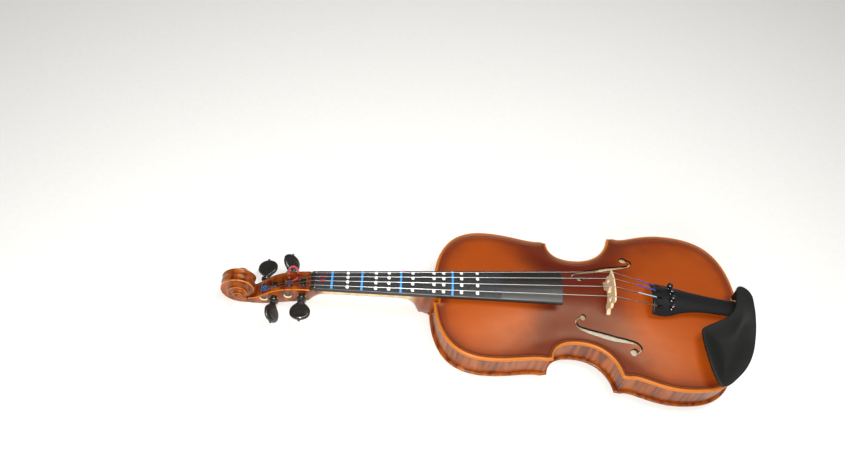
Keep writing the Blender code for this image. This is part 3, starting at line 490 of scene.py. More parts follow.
def body_half(start_y, end_y):
    """The treble side of the body as three lines, from near the neck to near the end button."""
    upper, waist, lower = (
        evenly(np.vstack([bezier(first, counts[0]), bezier(second, counts[1])[1:]]), 2.0)
        for (first, second), counts in ((UPPER, (200, 120)), (WAIST, (120, 120)), (LOWER, (150, 300)))
    )
    first = int(np.argmax(upper[:, 1] > start_y))
    last = len(lower) - int(np.argmax(lower[::-1, 1] > end_y))
    start = [np.interp(start_y, upper[:, 1][:40], upper[:, 0][:40]), start_y]
    return np.vstack([start, upper[first:]]), waist, lower[:last]


# ---------------------------------------------------------------- making pieces

def meshed(name, points, edges, faces):
    """A mesh object from points in millimetres from the datum."""
    mesh = bpy.data.meshes.new(name)
    places = np.asarray(points, float).reshape(-1, 3) * MM + DATUM
    mesh.from_pydata(places.tolist(), edges, [list(map(int, face)) for face in faces])
    obj = bpy.data.objects.new(name, mesh)
    bpy.context.scene.collection.objects.link(obj)
    return obj


def piece(name, shape, finishes, shade=35.0, kinds=None):
    """A closed object from a shape's points and faces, with its faces turned outward."""
    obj = meshed(name, shape[0], [], shape[1])
    for finish in finishes.split():
        obj.data.materials.append(material(finish))
    if kinds is not None:
        obj.data.polygons.foreach_set("material_index", np.asarray(kinds, np.int32))
    outward(obj.data)
    soften(obj.data, shade)
    return obj


def outward(mesh):
    """Merges doubles, drops what collapses and turns every face outward."""
    work = bmesh.new()
    work.from_mesh(mesh)
    bmesh.ops.remove_doubles(work, verts=work.verts, dist=2e-7)
    bmesh.ops.dissolve_degenerate(work, edges=work.edges, dist=1e-8)
    bmesh.ops.recalc_face_normals(work, faces=work.faces)
    work.to_mesh(mesh)
    work.free()


def soften(mesh, shade):
    mesh.shade_smooth()
    mesh.set_sharp_from_angle(angle=math.radians(shade))


def settled(obj):
    """The object with its modifiers worked into its mesh."""
    bpy.context.view_layer.update()
    graph = bpy.context.evaluated_depsgraph_get()
    mesh = bpy.data.meshes.new_from_object(obj.evaluated_get(graph))
    obj.modifiers.clear()
    old = obj.data
    obj.data = mesh
    bpy.data.meshes.remove(old)
    mesh.name = obj.name
    return obj


def fitted(obj, slot, *nodes, body="violin"):
    """Hangs a piece on its body and hides the nodes that it stands for."""
    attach(obj, body)
    if nodes:
        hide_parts(*nodes)
    return obj


def mover(obj, slot, node_name):
    """Fits a piece whose body is the very node it stands for."""
    return fitted(obj, slot, node_name, body=node_name)


def bevelled(obj, width, segments=2):
    """Rounds every sharp edge."""
    angle = 35.0
    step = obj.modifiers.new("bevel", "BEVEL")
    step.width = width * MM
    step.segments = segments
    step.limit_method = "ANGLE"
    step.angle_limit = math.radians(angle)
    step.use_clamp_overlap = True
    settled(obj)
    soften(obj.data, angle)
    return obj


def joined_by(obj, other, operation):
    """A Boolean with another object, which is then thrown away."""
    step = obj.modifiers.new("join", "BOOLEAN")
    step.operation = operation
    step.solver = "EXACT"
    step.material_mode = "TRANSFER"
    step.object = other
    settled(obj)
    bpy.data.objects.remove(other, do_unlink=True)
    return obj


def rings(sections):
    """A shape, which is points and faces, through sections that all have the same number of points."""
    count = len(sections[0])
    points = np.vstack([np.asarray(section, float) for section in sections])
    faces = []
    for i in range(len(sections) - 1):
        for j in range(count):
            k = (j + 1) % count
            faces.append((i * count + j, i * count + k, (i + 1) * count + k, (i + 1) * count + j))
    faces += [tuple(range(count))[::-1], tuple(range(len(points) - count, len(points)))]
    return points, faces


def circle(count):
    """Points round a circle of radius 1."""
    angles = np.linspace(0, 2 * math.pi, count, endpoint=False)
    return np.column_stack([np.cos(angles), np.sin(angles)])


def turned(profile, steps=32):
    """A shape turned about Z, from a profile down its outer side."""
    return rings([[(r * x, r * y, z) for x, y in circle(steps)] for r, z in profile])


def placed(shape, matrix):
    """A shape moved by a matrix whose lengths are millimetres."""
    turn = np.array(matrix)
    return np.asarray(shape[0], float) @ turn[:3, :3].T + turn[:3, 3], shape[1]


def shifted(shape, x, y):
    return shape[0] + (x, y, 0), shape[1]


def box_shape(low_corner, high_corner):
    """A block between two corners."""
    (x0, y0, z0), (x1, y1, z1) = low_corner, high_corner
    return rings([[(x0, y0, z), (x1, y0, z), (x1, y1, z), (x0, y1, z)] for z in (z0, z1)])


def fill(loops, extra):
    """Triangles over the first loop, less the other loops, seen anticlockwise from above."""
    points, edges = [], []
    for loop in loops:
        start = len(points)
        points.extend(loop)
        edges.extend((start + i, start + (i + 1) % len(loop)) for i in range(len(loop)))
    points.extend(extra)
    flat = [Vector((float(x), float(y))) for x, y in points]
    made, _, faces, _, _, _ = delaunay_2d_cdt(flat, edges, [], 0, 1e-4, False)
    made = np.array([tuple(v) for v in made])
    faces = np.array([tuple(f) for f in faces])
    centre = made[faces].mean(1)
    keep = inside(loops[0], centre)
    for hole in loops[1:]:
        keep &= ~inside(hole, centre)
    a, b, c = (made[faces[:, k]] for k in range(3))
    area = (b[:, 0] - a[:, 0]) * (c[:, 1] - a[:, 1]) - (b[:, 1] - a[:, 1]) * (c[:, 0] - a[:, 0])
    faces = np.where((area > 0)[:, None], faces, faces[:, ::-1])[keep & (np.abs(area) > 1e-7)]
    used = np.unique(faces)
    index = np.full(len(made), -1)
    index[used] = np.arange(len(used))
    return made[used], index[faces]


def shell(loops, spacing, band, upper, lower, rim_steps=()):
    """A plate over an outline with holes, between an upper and a lower surface.

    The two surfaces are functions of x, y and the distance from the outline. Rows of points run
    beside the outline at the rim steps, and a grid fills what is further in than the band.
    Returns the shape, and the kind of each face: 0 upper, 1 lower, 2 wall.
    """
    outline = np.asarray(loops[0], float)
    first, last = outline.min(0), outline.max(0)
    grid = []
    for k, y in enumerate(np.arange(first[1] + spacing / 2, last[1], spacing * 0.866)):
        start = first[0] + spacing * (0.25 + 0.5 * (k % 2))
        grid.extend((x, y) for x in np.arange(start, last[0], spacing))
    grid = np.array(grid)
    grid = grid[inside(outline, grid)]
    grid = grid[distance_to(outline, grid) > band]
    extra = np.vstack([grid] + [offset_ring(outline, step) for step in rim_steps])
    for hole in loops[1:]:
        extra = extra[~inside(hole, extra)]
        extra = extra[distance_to(hole, extra) > spacing * 0.3]
    flat, faces = fill(loops, extra)
    from_edge = distance_to(outline, flat)
    count = len(flat)
    top, bottom = (np.column_stack([flat, surface(*flat.T, from_edge)]) for surface in (upper, lower))
    sides = np.vstack([faces[:, [0, 1]], faces[:, [1, 2]], faces[:, [2, 0]]])
    there = {(int(a), int(b)) for a, b in sides}
    walls = sorted((a, a + count, b + count, b) for a, b in there if (b, a) not in there)
    kinds = [0] * len(faces) + [1] * len(faces) + [2] * len(walls)
    every = [tuple(f) for f in faces] + [tuple(f + count) for f in faces[:, ::-1]] + walls
    return (np.vstack([top, bottom]), every), kinds


def offset_ring(outline, distance):
    """The points of a closed outline moved inward, less those that would cross at a corner."""
    after = unit(np.roll(outline, -1, axis=0) - outline)
    along = unit(unit(outline - np.roll(outline, 1, axis=0)) + after)
    normal = across_of(along)
    square_on = np.clip((normal * across_of(after)).sum(1), 0.5, 1)
    x, y = outline.T
    clockwise = np.sum(x * np.roll(y, -1) - np.roll(x, -1) * y) < 0
    moved = outline + normal * (distance / square_on)[:, None] * (1 if clockwise else -1)
    fine = inside(outline, moved) & (distance_to(outline, moved) > distance - 0.02)
    return moved[fine]


def mark_distance(obj, outline):
    """Keeps each point's distance from the edge, in millimetres, as an attribute that the varnish reads."""
    co = np.empty(len(obj.data.vertices) * 3)
    obj.data.vertices.foreach_get("co", co)
    flat = ((co.reshape(-1, 3) - DATUM) / MM)[:, :2]
    attribute = obj.data.attributes.new("from_edge", "FLOAT", "POINT")
    attribute.data.foreach_set("value", distance_to(outline, flat).astype(np.float32))


# ---------------------------------------------------------------- nodes

def feed(tree, target, inputs):
    """Links nodes or sockets to a node's inputs, or sets their values, by name or in their order."""
    for key, value in inputs.items() if isinstance(inputs, dict) else enumerate(inputs):
        if isinstance(value, bpy.types.Node):
            value = next(socket for socket in value.outputs if socket.enabled)
        if isinstance(value, bpy.types.NodeSocket):
            tree.links.new(value, target.inputs[key])
        else:
            target.inputs[key].default_value = value


def node(tree, kind, inputs=(), stops=(), **settings):
    """Adds one node of its tree's own kind, or one named in full, with its ramp's stops and inputs."""
    made = tree.nodes.new(kind if "Node" in kind else tree.bl_idname.replace("Tree", kind))
    for key, value in settings.items():
        setattr(made, key, value)
    for k, (position, colour) in enumerate(stops):
        ramp = made.color_ramp.elements
        stop = ramp[k] if k < len(ramp) else ramp.new(position)
        stop.position = position
        stop.color = (*linear(colour), 1)
    feed(tree, made, inputs)
    return made


def finish_named(name, constants):
    """A new material with a Principled shader whose constants are set on its own sockets."""
    made = bpy.data.materials.new(name)
    made.use_nodes = True
    tree = made.node_tree
    tree.nodes.clear()
    shader = node(tree, "BsdfPrincipled", constants)
    node(tree, "OutputMaterial", {"Surface": shader})
    return made, tree, shader


def from_datum(tree, stretch=None):
    """Object coordinates in millimetres from the violin's datum, stretched where asked."""
    place = node(tree, "TexCoord").outputs["Object"]
    moved = node(tree, "Mapping", {"Vector": place, "Location": tuple(-DATUM / MM), "Scale": (1 / MM,) * 3})
    return node(tree, "Mapping", {"Vector": moved, "Scale": stretch}) if stretch else moved


def wave_scale(spacing):
    """The Wave texture's scale for bands this many millimetres apart."""
    return 2 * math.pi / (20 * spacing)


# ---------------------------------------------------------------- materials

def shaded(colour, share):
    """A colour made darker or lighter by a share."""
    return tuple(min(1.0, c * share) for c in linear(colour))


def varnish(roughness, coat, coat_roughness):
    """Shader values of a warm spirit varnish."""
    return {
        "Roughness": roughness, "IOR": 1.5, "Specular Tint": VARNISH_GLOSS, "Coat Weight": coat,
        "Coat Roughness": coat_roughness, "Coat IOR": 1.5,
    }


def varnished_spruce(colours):
    """Spruce under amber spirit varnish, darker red-brown toward the waist and in the channel beside the
    edge: partly the varnish's own sunburst, partly painted shade.

    The eye gets straight winter lines about 1.3 mm apart, a soft satin gloss, and a paler rubbed rim.
    """
    made, tree, shader = finish_named("varnished_spruce", varnish(0.42, 0.08, 0.3))
    local = from_datum(tree)
    xyz = node(tree, "SeparateXYZ", (local,))
    bouts = []
    for x, reach, across in ((58, 62, 88), (292, 84, 108)):
        from_x = node(tree, "Math", (xyz.outputs["X"], x), operation="SUBTRACT")
        from_x = node(tree, "Math", (from_x, reach), operation="DIVIDE")
        from_y = node(tree, "Math", (xyz.outputs["Y"], across), operation="DIVIDE")
        far = node(tree, "CombineXYZ", (from_x, from_y))
        bouts.append(node(tree, "VectorMath", (far,), operation="LENGTH").outputs["Value"])
    near = node(tree, "Math", bouts, operation="MINIMUM")
    cloud = node(tree, "TexNoise", {"Vector": local, "Scale": 0.02, "Detail": 3.0})
    near = node(tree, "Math", (near, node(tree, "MapRange", (cloud, 0.3, 0.7, -0.12, 0.12))))
    # Painted shade mixed with the varnish's sunburst: darker red-brown away from the middle of the bouts,
    # toward the waist and the ends.
    shade = node(tree, "MapRange", (near, 0.55, 1.25), interpolation_type="SMOOTHSTEP")
    edge = node(tree, "Attribute", attribute_name="from_edge").outputs["Fac"]
    # Painted shade mixed with the varnish's own tone: a darker band in the channel beside the edge.
    channel_sunburst_and_shade = node(tree, "ValToRGB", (node(tree, "MapRange", (edge, 0.0, 14.0)),), stops=(
        (0.0, (0, 0, 0)), (0.2, (0.05,) * 3), (0.34, (0.75,) * 3), (0.5, (0.55,) * 3), (1.0, (0, 0, 0)),
    ))
    rubbed = node(tree, "MapRange", (edge, 1.2, 3.6, 0.75, 0.0), interpolation_type="SMOOTHSTEP")
    colour = (*colours.belly, 1)
    for share, over in ((shade, colours.waist), (channel_sunburst_and_shade, colours.waist), (rubbed, colours.rim)):
        colour = node(tree, "Mix", {0: share, 6: colour, 7: (*over, 1)}, data_type="RGBA")
    lines = node(tree, "TexWave", {
        "Vector": local, "Scale": wave_scale(1.3), "Distortion": 2.2, "Detail": 2.0, "Detail Scale": 0.35,
        "Detail Roughness": 0.5,
    }, bands_direction="Y", wave_profile="SAW")
    streaks = node(tree, "TexNoise", {
        "Vector": from_datum(tree, (0.012, 0.55, 0.2)), "Scale": 1.0, "Detail": 4.0, "Roughness": 0.6,
    })
    grain = node(tree, "Mix", {0: 0.55, 2: lines.outputs["Fac"], 3: streaks})
    tint = node(tree, "ValToRGB", (grain,), stops=(
        (0.2, (1.0, 1.0, 1.0)), (0.55, (0.86, 0.8, 0.74)), (0.9, (0.62, 0.5, 0.42)),
    ))
    colour = node(tree, "Mix", {0: 0.6, 6: colour, 7: tint}, data_type="RGBA", blend_type="MULTIPLY")
    dust = node(tree, "TexNoise", {"Vector": local, "Scale": 0.06, "Detail": 5.0})
    feed(tree, shader, {
        "Base Color": colour, "Roughness": node(tree, "MapRange", (dust, 0.3, 0.7, 0.4, 0.5)),
        "Normal": node(tree, "Bump", {"Height": grain, "Strength": 0.12, "Distance": 0.0002}),
    })
    return made


def flamed(name, colours, along, slant=0.0, bare_neck=False):
    """Flamed maple under the same varnish.

    The eye gets bright and dark flames 6 to 10 mm wide across the grain, fine pores along it, and
    on the handle of the neck the bare oiled wood.
    """
    made, tree, shader = finish_named(name, varnish(0.34, 0.12, 0.18))
    local = from_datum(tree)
    x, y, z = node(tree, "SeparateXYZ", (local,)).outputs
    side = node(tree, "Math", (y,), operation="ABSOLUTE")
    lean = node(tree, "Math", (side, slant, x), operation="MULTIPLY_ADD")
    bent = node(tree, "Mapping", {"Vector": node(tree, "CombineXYZ", (lean, y, z)), "Scale": along})
    flames = node(tree, "TexNoise", {
        "Vector": bent, "Scale": 1.0, "Detail": 1.5, "Roughness": 0.45, "Distortion": 0.25,
    })
    colour = node(tree, "ValToRGB", (flames,), stops=((0.34, colours.maple_dark), (0.66, colours.maple)))
    cloud = node(tree, "TexNoise", {"Vector": local, "Scale": 0.016, "Detail": 3.0})
    worn = node(tree, "MapRange", (cloud, 0.35, 0.75, 0.0, 0.4))
    colour = node(tree, "Mix", {0: worn, 6: colour, 7: (*colours.waist, 1)}, data_type="RGBA")
    pores = node(tree, "TexNoise", {
        "Vector": from_datum(tree, (0.07, 1.6, 1.6)), "Scale": 1.0, "Detail": 3.0, "Roughness": 0.6,
    })
    fine = node(tree, "MapRange", (pores, 0.3, 0.7, 0.82, 1.06))
    colour = node(tree, "VectorMath", {0: colour, "Scale": fine}, operation="SCALE")
    if bare_neck:
        ends = [node(tree, "MapRange", (x, start, end), interpolation_type="SMOOTHSTEP")
                for start, end in ((-127.0, -116.0), (-16.0, -30.0))]
        handle = node(tree, "Math", ends, operation="MULTIPLY")
        pale = node(tree, "ValToRGB", (flames,), stops=((0.3, "#C39A60"), (0.7, "#E0C291")))
        colour = node(tree, "Mix", {0: handle, 6: colour, 7: pale}, data_type="RGBA")
    bump = node(tree, "Bump", {"Height": pores, "Strength": 0.08, "Distance": 0.0002})
    feed(tree, shader, {"Base Color": colour, "Normal": bump})
    return made


def textured(name, constants, stops, kind, stretch=None, rough=None, bump=None, **values):
    """A finish drawn by one texture.

    A ramp makes its colour from the texture. Rough holds the texture's range and how far it moves the
    roughness down and up, and bump holds the strength and the depth of the relief.
    """
    made, tree, shader = finish_named(name, constants)
    values = {key.replace("_", " "): value for key, value in values.items()}
    drawn = node(tree, kind, {"Vector": from_datum(tree, stretch), **values})
    drawn = drawn.outputs["Distance" if kind == "TexVoronoi" else "Fac"]
    feed(tree, shader, {"Base Color": node(tree, "ValToRGB", (drawn,), stops)})
    if rough:
        first, last, less, more = rough
        level = constants["Roughness"]
        spread = node(tree, "MapRange", (drawn, first, last, level - less, level + more))
        feed(tree, shader, {"Roughness": spread})
    if bump:
        relief = node(tree, "Bump", {"Height": drawn, "Strength": bump[0], "Distance": bump[1]})
        feed(tree, shader, {"Normal": relief})
    return made


def edge_wear_and_highlight_varnish(colours):
    """The same varnish, brighter, smoother and more orange, on the scroll's chamfers and the pegbox's upper
    edges: partly varnish rubbed thin by hands, partly a painted highlight where light glints on these edges.
    """
    return textured(
        "varnish_edge_wear_and_highlight", varnish(0.28, 0.3, 0.15), ((0.3, colours.maple), (0.6, colours.rim)),
        "TexNoise", Scale=0.3, Detail=4.0,
    )


def bare_wood(name, pale, dark, stretch):
    """Planed wood left bare: matt, with its grain drawn 1 to 2 mm apart along the violin."""
    return textured(
        name, {"Roughness": 0.72, "IOR": 1.45}, ((0.3, dark), (0.65, pale)), "TexNoise", stretch,
        bump=(0.2, 0.0002), Scale=1.0, Detail=4.0, Roughness=0.6,
    )


def bridge_maple():
    """Maple split on the quarter and left bare: pale tan, with dark flecks 2 to 3 mm long on its faces."""
    made, tree, shader = finish_named("bridge_maple", {"Roughness": 0.5, "IOR": 1.45})
    flecks = node(tree, "TexVoronoi", {"Vector": from_datum(tree, (0.9, 0.42, 1.9)), "Scale": 1.0})
    colour = node(tree, "ValToRGB", (flecks,), stops=((0.1, "#B98C5A"), (0.3, "#E0C196"), (0.8, "#EACFA6")))
    grain = node(tree, "TexNoise", {
        "Vector": from_datum(tree, (1.2, 0.08, 1.2)), "Scale": 1.0, "Detail": 3.0,
    })
    toned = node(tree, "MapRange", (grain, 0.3, 0.7, 0.86, 1.05))
    feed(tree, shader, {
        "Base Color": node(tree, "VectorMath", {0: colour, "Scale": toned}, operation="SCALE"),
    })
    return made


def ebony(name, colours, roughness, coat=0.0):
    """Ebony, scraped and oiled or burnished: near black, with faint brown pores 0.4 mm wide."""
    return textured(
        name, {"Roughness": roughness, "IOR": 1.54, "Coat Weight": coat, "Coat Roughness": 0.15},
        ((0.42, colours.ebony), (0.62, shaded(colours.ebony, 1.7)), (0.8, "#3A2A1D")), "TexNoise",
        (0.05, 1.3, 1.3), (0.3, 0.8, 0.05, 0.1), (0.1, 0.0001), Scale=1.0, Detail=5.0, Roughness=0.65,
    )


def moulded(name, colour, roughness, grit, depth=0.0002):
    """Moulded plastic: an even colour with the fine orange peel of the mould, its grit in millimetres."""
    return textured(
        name, {"Specular IOR Level": 0.26, "Roughness": roughness, "IOR": 1.5},
        ((0.3, colour), (0.7, shaded(colour, 1.25))), "TexNoise", None, (0.3, 0.7, 0.04, 0.06),
        (0.15, depth), Scale=1 / grit, Detail=3.0,
    )


def plated(name, colour, roughness, streak):
    """Nickel or chrome plate over turned steel: bright metal with fine marks, a streak's width apart."""
    return textured(
        name, {"Metallic": 1.0, "Roughness": roughness}, ((0.25, shaded(colour, 0.82)), (0.7, colour)),
        "TexNoise", None, (0.3, 0.7, 0.06, 0.1), Scale=1 / streak, Detail=4.0, Roughness=0.6,
    )


def wound_string(name, colour):
    """A string wound with flat wire, whose 0.1 mm turns are drawn 0.5 mm apart so that they show."""
    return textured(
        name, {"Metallic": 1.0, "Roughness": 0.3}, ((0.0, shaded(colour, 0.72)), (1.0, colour)), "TexWave",
        Scale=wave_scale(0.5),
    )


def silk(name, colour):
    """Silk thread wound round a string's end: soft coloured sheen, its 0.3 mm threads side by side."""
    return textured(
        name, {"Roughness": 0.55, "IOR": 1.5, "Sheen Weight": 0.5, "Sheen Roughness": 0.4},
        ((0.0, shaded(colour, 0.6)), (1.0, colour)), "TexWave", Scale=wave_scale(0.6), Distortion=0.6,
    )


def printed_ink(name, colour):
    """Ink printed on a clear film: flat and opaque, with the mottle of a screen print 0.6 mm wide."""
    return textured(
        name, {"Roughness": 0.42, "IOR": 1.5}, ((0.3, shaded(colour, 0.88)), (0.7, colour)), "TexNoise",
        Scale=1.6, Detail=2.0,
    )


def cork_sheet():
    """Composition cork: matt tan with dark granules about 1.5 mm across."""
    return textured(
        "cork_sheet", {"Roughness": 0.88, "IOR": 1.4},
        ((0.1, "#8A5A34"), (0.45, "#C39562"), (0.9, "#6E4526")), "TexVoronoi", bump=(0.5, 0.0003), Scale=0.65,
    )


def studio_paper(colours):
    """Matt white background paper, with a soft tooth 4 mm across."""
    return textured(
        "studio_paper", {"Roughness": 0.9, "IOR": 1.45, "Specular IOR Level": 0.2},
        ((0.3, shaded(colours.floor, 0.97)), (0.7, colours.floor)), "TexNoise", Scale=0.25, Detail=3.0,
    )


MADE = {}


def material(name):
    """The material of this name, made when it is first asked for."""
    if name not in MADE:
        colours = bpy.context.scene.violin_colours
        even = (0.3, 0.3, 0.3)
        recipes = {
            "belly": (varnished_spruce, colours),
            "back": (flamed, "varnished_back_maple", colours, (0.15, 0.02, 0.03), 0.22),
            "ribs": (flamed, "varnished_rib_maple", colours, (0.2, 0.2, 0.02)),
            "neck": (flamed, "varnished_neck_maple", colours, (0.17, 0.04, 0.03), 0.0, True),
            "bare_spruce": (bare_wood, "bare_spruce", colours.bare, "#C9A468", (0.015, 0.8, 0.8)),
            "bare_maple": (bare_wood, "bare_maple", "#F0DDB5", "#D8B983", (0.3, 0.3, 0.1)),
            "cut_edge": (bare_wood, "stained_cut_edge", "#2E1206", "#1C0A03", even),
            "worn_edge": (edge_wear_and_highlight_varnish, colours),
            "bridge": (bridge_maple,),
            "board": (ebony, "oiled_ebony", colours, 0.42),
            "polished": (ebony, "burnished_ebony", colours, 0.3, 0.3),
            "film": (moulded, "clear_vinyl_film", "#2B2B2C", 0.3, 3.0, 0.00005),
            "composite": (moulded, "moulded_composite", "#161617", 0.36, 1.2),
            "resin": (moulded, "matt_moulded_resin", "#121211", 0.6, 0.8),
            "nylon": (moulded, "nylon_cord", "#151515", 0.45, 0.6),
            "nickel": (plated, "nickel_plate", "#D2CFC8", 0.24, 2.0),
            "black_chrome": (plated, "black_chrome", "#5A5A5E", 0.28, 1.5),
            "cork": (cork_sheet,),
            "plain_string": (wound_string, "plain_steel_string", "#D9D7D2"),
            "wound_string": (wound_string, "wound_steel_string", "#C9C7C2"),
            "violet_silk": (silk, "violet_blue_silk", "#2C2BA0"),
            "purple_silk": (silk, "purple_silk", "#4E1238"),
            "blue_silk": (silk, "blue_silk", "#173E78"),
            "red_silk": (silk, "red_silk", "#D22540"),
            "black_silk": (silk, "black_silk", "#17120F"),
            "silver_silk": (silk, "silver_silk", "#9FC4CF"),
            "brown_silk": (silk, "brown_silk", "#5B3423"),
            "blue_ink": (printed_ink, "blue_ink", colours.line),
            "white_ink": (printed_ink, "white_ink", colours.dot),
            "pink_ink": (printed_ink, "pink_ink", "#E58CB4"),
            "dyed_strip": (moulded, "dyed_purfling", "#1E0F08", 0.5, 0.5, 0.00005),
            "pale_strip": (bare_wood, "pale_purfling", "#8E5A26", "#6B3D16", even),
            "label": (bare_wood, "plain_label_paper", "#F4EDD8", "#EBDFC2", (0.2, 0.2, 0.2)),
            "paper": (studio_paper, colours),
        }
        maker, *details = recipes[name]
        MADE[name] = maker(*details)
    return MADE[name]


# ---------------------------------------------------------------- Geometry Nodes

def growth(name, **inputs):
    """An empty Geometry Nodes tree, and its inputs: a geometry, those named and a material."""
    tree = bpy.data.node_groups.new(name, "GeometryNodeTree")
    for label, kind in (("Geometry", "Geometry"), *inputs.items(), ("Material", "Material")):
        tree.interface.new_socket(label, in_out="INPUT", socket_type=f"NodeSocket{kind}")
    tree.interface.new_socket("Geometry", in_out="OUTPUT", socket_type="NodeSocketGeometry")
    return tree, node(tree, "NodeGroupInput").outputs


def closing(tree, given, geometry):
    """Ends a tree in real geometry with its material."""
    real = node(tree, "RealizeInstances", (geometry,))
    node(tree, "NodeGroupOutput", (
        node(tree, "SetMaterial", {0: real, "Material": given["Material"]}),
    ))
    return tree


def swept(tree, given, line, section):
    """Ends a tree with a section swept along a line."""
    return closing(tree, given, node(tree, "CurveToMesh", {
        "Curve": line, "Profile Curve": section, "Fill Caps": True,
    }))


def strip_tree():
    """A strip of even width and height that follows a line of edges, upright all along."""
    tree, given = growth("strip along a line", Width="Float", Height="Float")
    line = node(tree, "MeshToCurve", (given["Geometry"],))
    upright = node(tree, "SetCurveNormal", (line,), mode="Z_UP")
    return swept(tree, given, upright, node(tree, "CurvePrimitiveQuadrilateral", {
        "Width": given["Width"], "Height": given["Height"],
    }))


def cord_tree():
    """A round cord that follows a line of edges."""
    tree, given = growth("cord along a line", Radius="Float", Sides="Int")
    line = node(tree, "MeshToCurve", (given["Geometry"],))
    return swept(tree, given, line, node(tree, "CurvePrimitiveCircle", {
        "Radius": given["Radius"], "Resolution": given["Sides"],
    }))


def winding_tree():
    """Turns of string side by side round the Z axis."""
    tree, given = growth("winding", Turns="Float", Radius="Float", Length="Float", Thickness="Float")
    helix = node(tree, "CurveSpiral", {
        "Resolution": 24, "Rotations": given["Turns"], "Start Radius": given["Radius"],
        "End Radius": given["Radius"], "Height": given["Length"],
    })
    return swept(tree, given, helix, node(tree, "CurvePrimitiveCircle", {
        "Radius": given["Thickness"], "Resolution": 8,
    }))


def marks_tree():
    """A low round dot on every point, tilted to lie on the crowned board."""
    tree, given = growth("dots on the board", Radius="Float", Height="Float", Crown="Float")
    xyz = node(tree, "ShaderNodeSeparateXYZ", (node(tree, "InputPosition"),))
    lean = node(tree, "ShaderNodeMath", (xyz.outputs["Y"], given["Crown"]), operation="DIVIDE")
    up = node(tree, "ShaderNodeCombineXYZ", {"Y": lean, "Z": 1.0})
    turn = node(tree, "FunctionNodeAlignRotationToVector", {"Vector": up}, axis="Z")
    dot = node(tree, "MeshCylinder", {
        "Vertices": 20, "Radius": given["Radius"], "Depth": given["Height"],
    })
    return closing(tree, given, node(tree, "InstanceOnPoints", {
        "Points": given["Geometry"], "Instance": dot, "Rotation": turn,
    }))


def knurl_tree():
    """Small upright ribs in a ring about the Z axis, added to the turned body that they stand on."""
    tree, given = growth("knurls", Count="Int", Radius="Float", Height="Float", Middle="Vector")
    ring = node(tree, "MeshCircle", {"Vertices": given["Count"], "Radius": given["Radius"]})
    rib = node(tree, "MeshCylinder", {
        "Vertices": 6, "Radius": KNURL_RADIUS, "Depth": given["Height"],
    })
    copies = node(tree, "InstanceOnPoints", {"Points": ring, "Instance": rib})
    moved = node(tree, "Transform", {0: copies, "Translation": given["Middle"]})
    both = node(tree, "JoinGeometry", (given["Geometry"],))
    feed(tree, both, (moved,))
    return closing(tree, given, both)


TREES = {}


def grown(name, points, maker, values, faces=(), shade=35.0):
    """A plain mesh grown by a tree from a line, from points or from a mesh, given in millimetres."""
    if maker not in TREES:
        TREES[maker] = maker()
    tree = TREES[maker]
    edges = [] if faces else [(i, i + 1) for i in range(len(points) - 1)]
    obj = meshed(name, points, edges, faces)
    step = obj.modifiers.new("grow", "NODES")
    step.node_group = tree
    for socket in tree.interface.items_tree:
        if socket.item_type == "SOCKET" and socket.in_out == "INPUT" and socket.name in values:
            step[socket.identifier] = values[socket.name]
    settled(obj)
    outward(obj.data)
    soften(obj.data, shade)
    return obj


def strip(name, points, width, height, finish):
    return grown(name, points, strip_tree, {
        "Width": width * MM, "Height": height * MM, "Material": material(finish),
    })


def cord(name, points, radius, finish, sides=10):
    return grown(name, points, cord_tree, {
        "Radius": radius * MM, "Sides": sides, "Material": material(finish),
    }, shade=60)




# ---------------------------------------------------------------- body

def f_hole(side):
    """One f-hole as outlines that overlap: the curling stem, a round end at each tip and the nicks."""
    stem = evenly(spline(np.array(SOUND_HOLE_STEM), 0.6), 0.8)
    path, width = stem[:, :2], stem[:, 2]
    along = unit(np.gradient(path, axis=0))
    across = -across_of(along)
    outline = np.vstack([path + across * width[:, None] / 2, (path - across * width[:, None] / 2)[::-1]])
    ring = circle(36)
    centre = int(np.argmin(np.abs(path[:, 0] - BRIDGE_X)))
    nick_reach, nick_half = width[centre] / 2 + 1.3, 0.9
    nicks = np.array([
        path[centre] + across[centre] * nick_reach, path[centre] + along[centre] * nick_half,
        path[centre] - across[centre] * nick_reach, path[centre] - along[centre] * nick_half,
    ])
    loops = [outline, ring * 3.2 + (167.0, 25.2), ring * 4.3 + (223.4, 61.0), nicks]
    return [loop * (1, side) for loop in loops]


def belly_outline():
    upper, waist, lower = body_half(17.0, 17.0)
    half = np.vstack([[(6.0, 17.0)], upper, waist, lower, [(349.0, 17.0)]])
    return np.vstack([half, mirrored(half)[::-1]])


def back_outline():
    upper, waist, lower = body_half(13.0, 1.0)
    angles = np.radians(np.linspace(180, 90, 16))
    button = np.column_stack([-2 + 10.5 * np.cos(angles), 10.5 * np.sin(angles)])
    half = np.vstack([button[1:], upper, waist, lower])
    return np.vstack([button[:1], half, [(BODY_LENGTH, 0)], mirrored(half)[::-1]])


def edge_bead(from_edge, sizes):
    """Height of the rounded edge above the plain arching."""
    bead, crest, channel = sizes.bead / MM, sizes.bead_width / MM, sizes.channel / MM
    inward = bead * (0.5 + 0.5 * np.cos(np.pi * np.clip((from_edge - crest) / (channel - crest), 0, 1)))
    return np.where(from_edge < crest, bead - round_over(from_edge, crest, bead + 0.7), inward)


def plate_surfaces(height, sizes, turn):
    """The outer and inner surface of a plate, facing up for the belly and down for the back."""
    glued = 4.6

    def outer(x, y, from_edge):
        return rise(x, y, height) + edge_bead(from_edge, sizes)

    def inner(x, y, from_edge):
        hollow = np.maximum(rise(x, y, height) - sizes.thickness / MM, 0.1)
        return np.where(from_edge < glued, 0.1 + round_over(from_edge, 1.5, 0.7), hollow)

    if turn > 0:
        return outer, inner
    return (lambda *at: -RIB_HEIGHT - inner(*at)), (lambda *at: -RIB_HEIGHT - outer(*at))


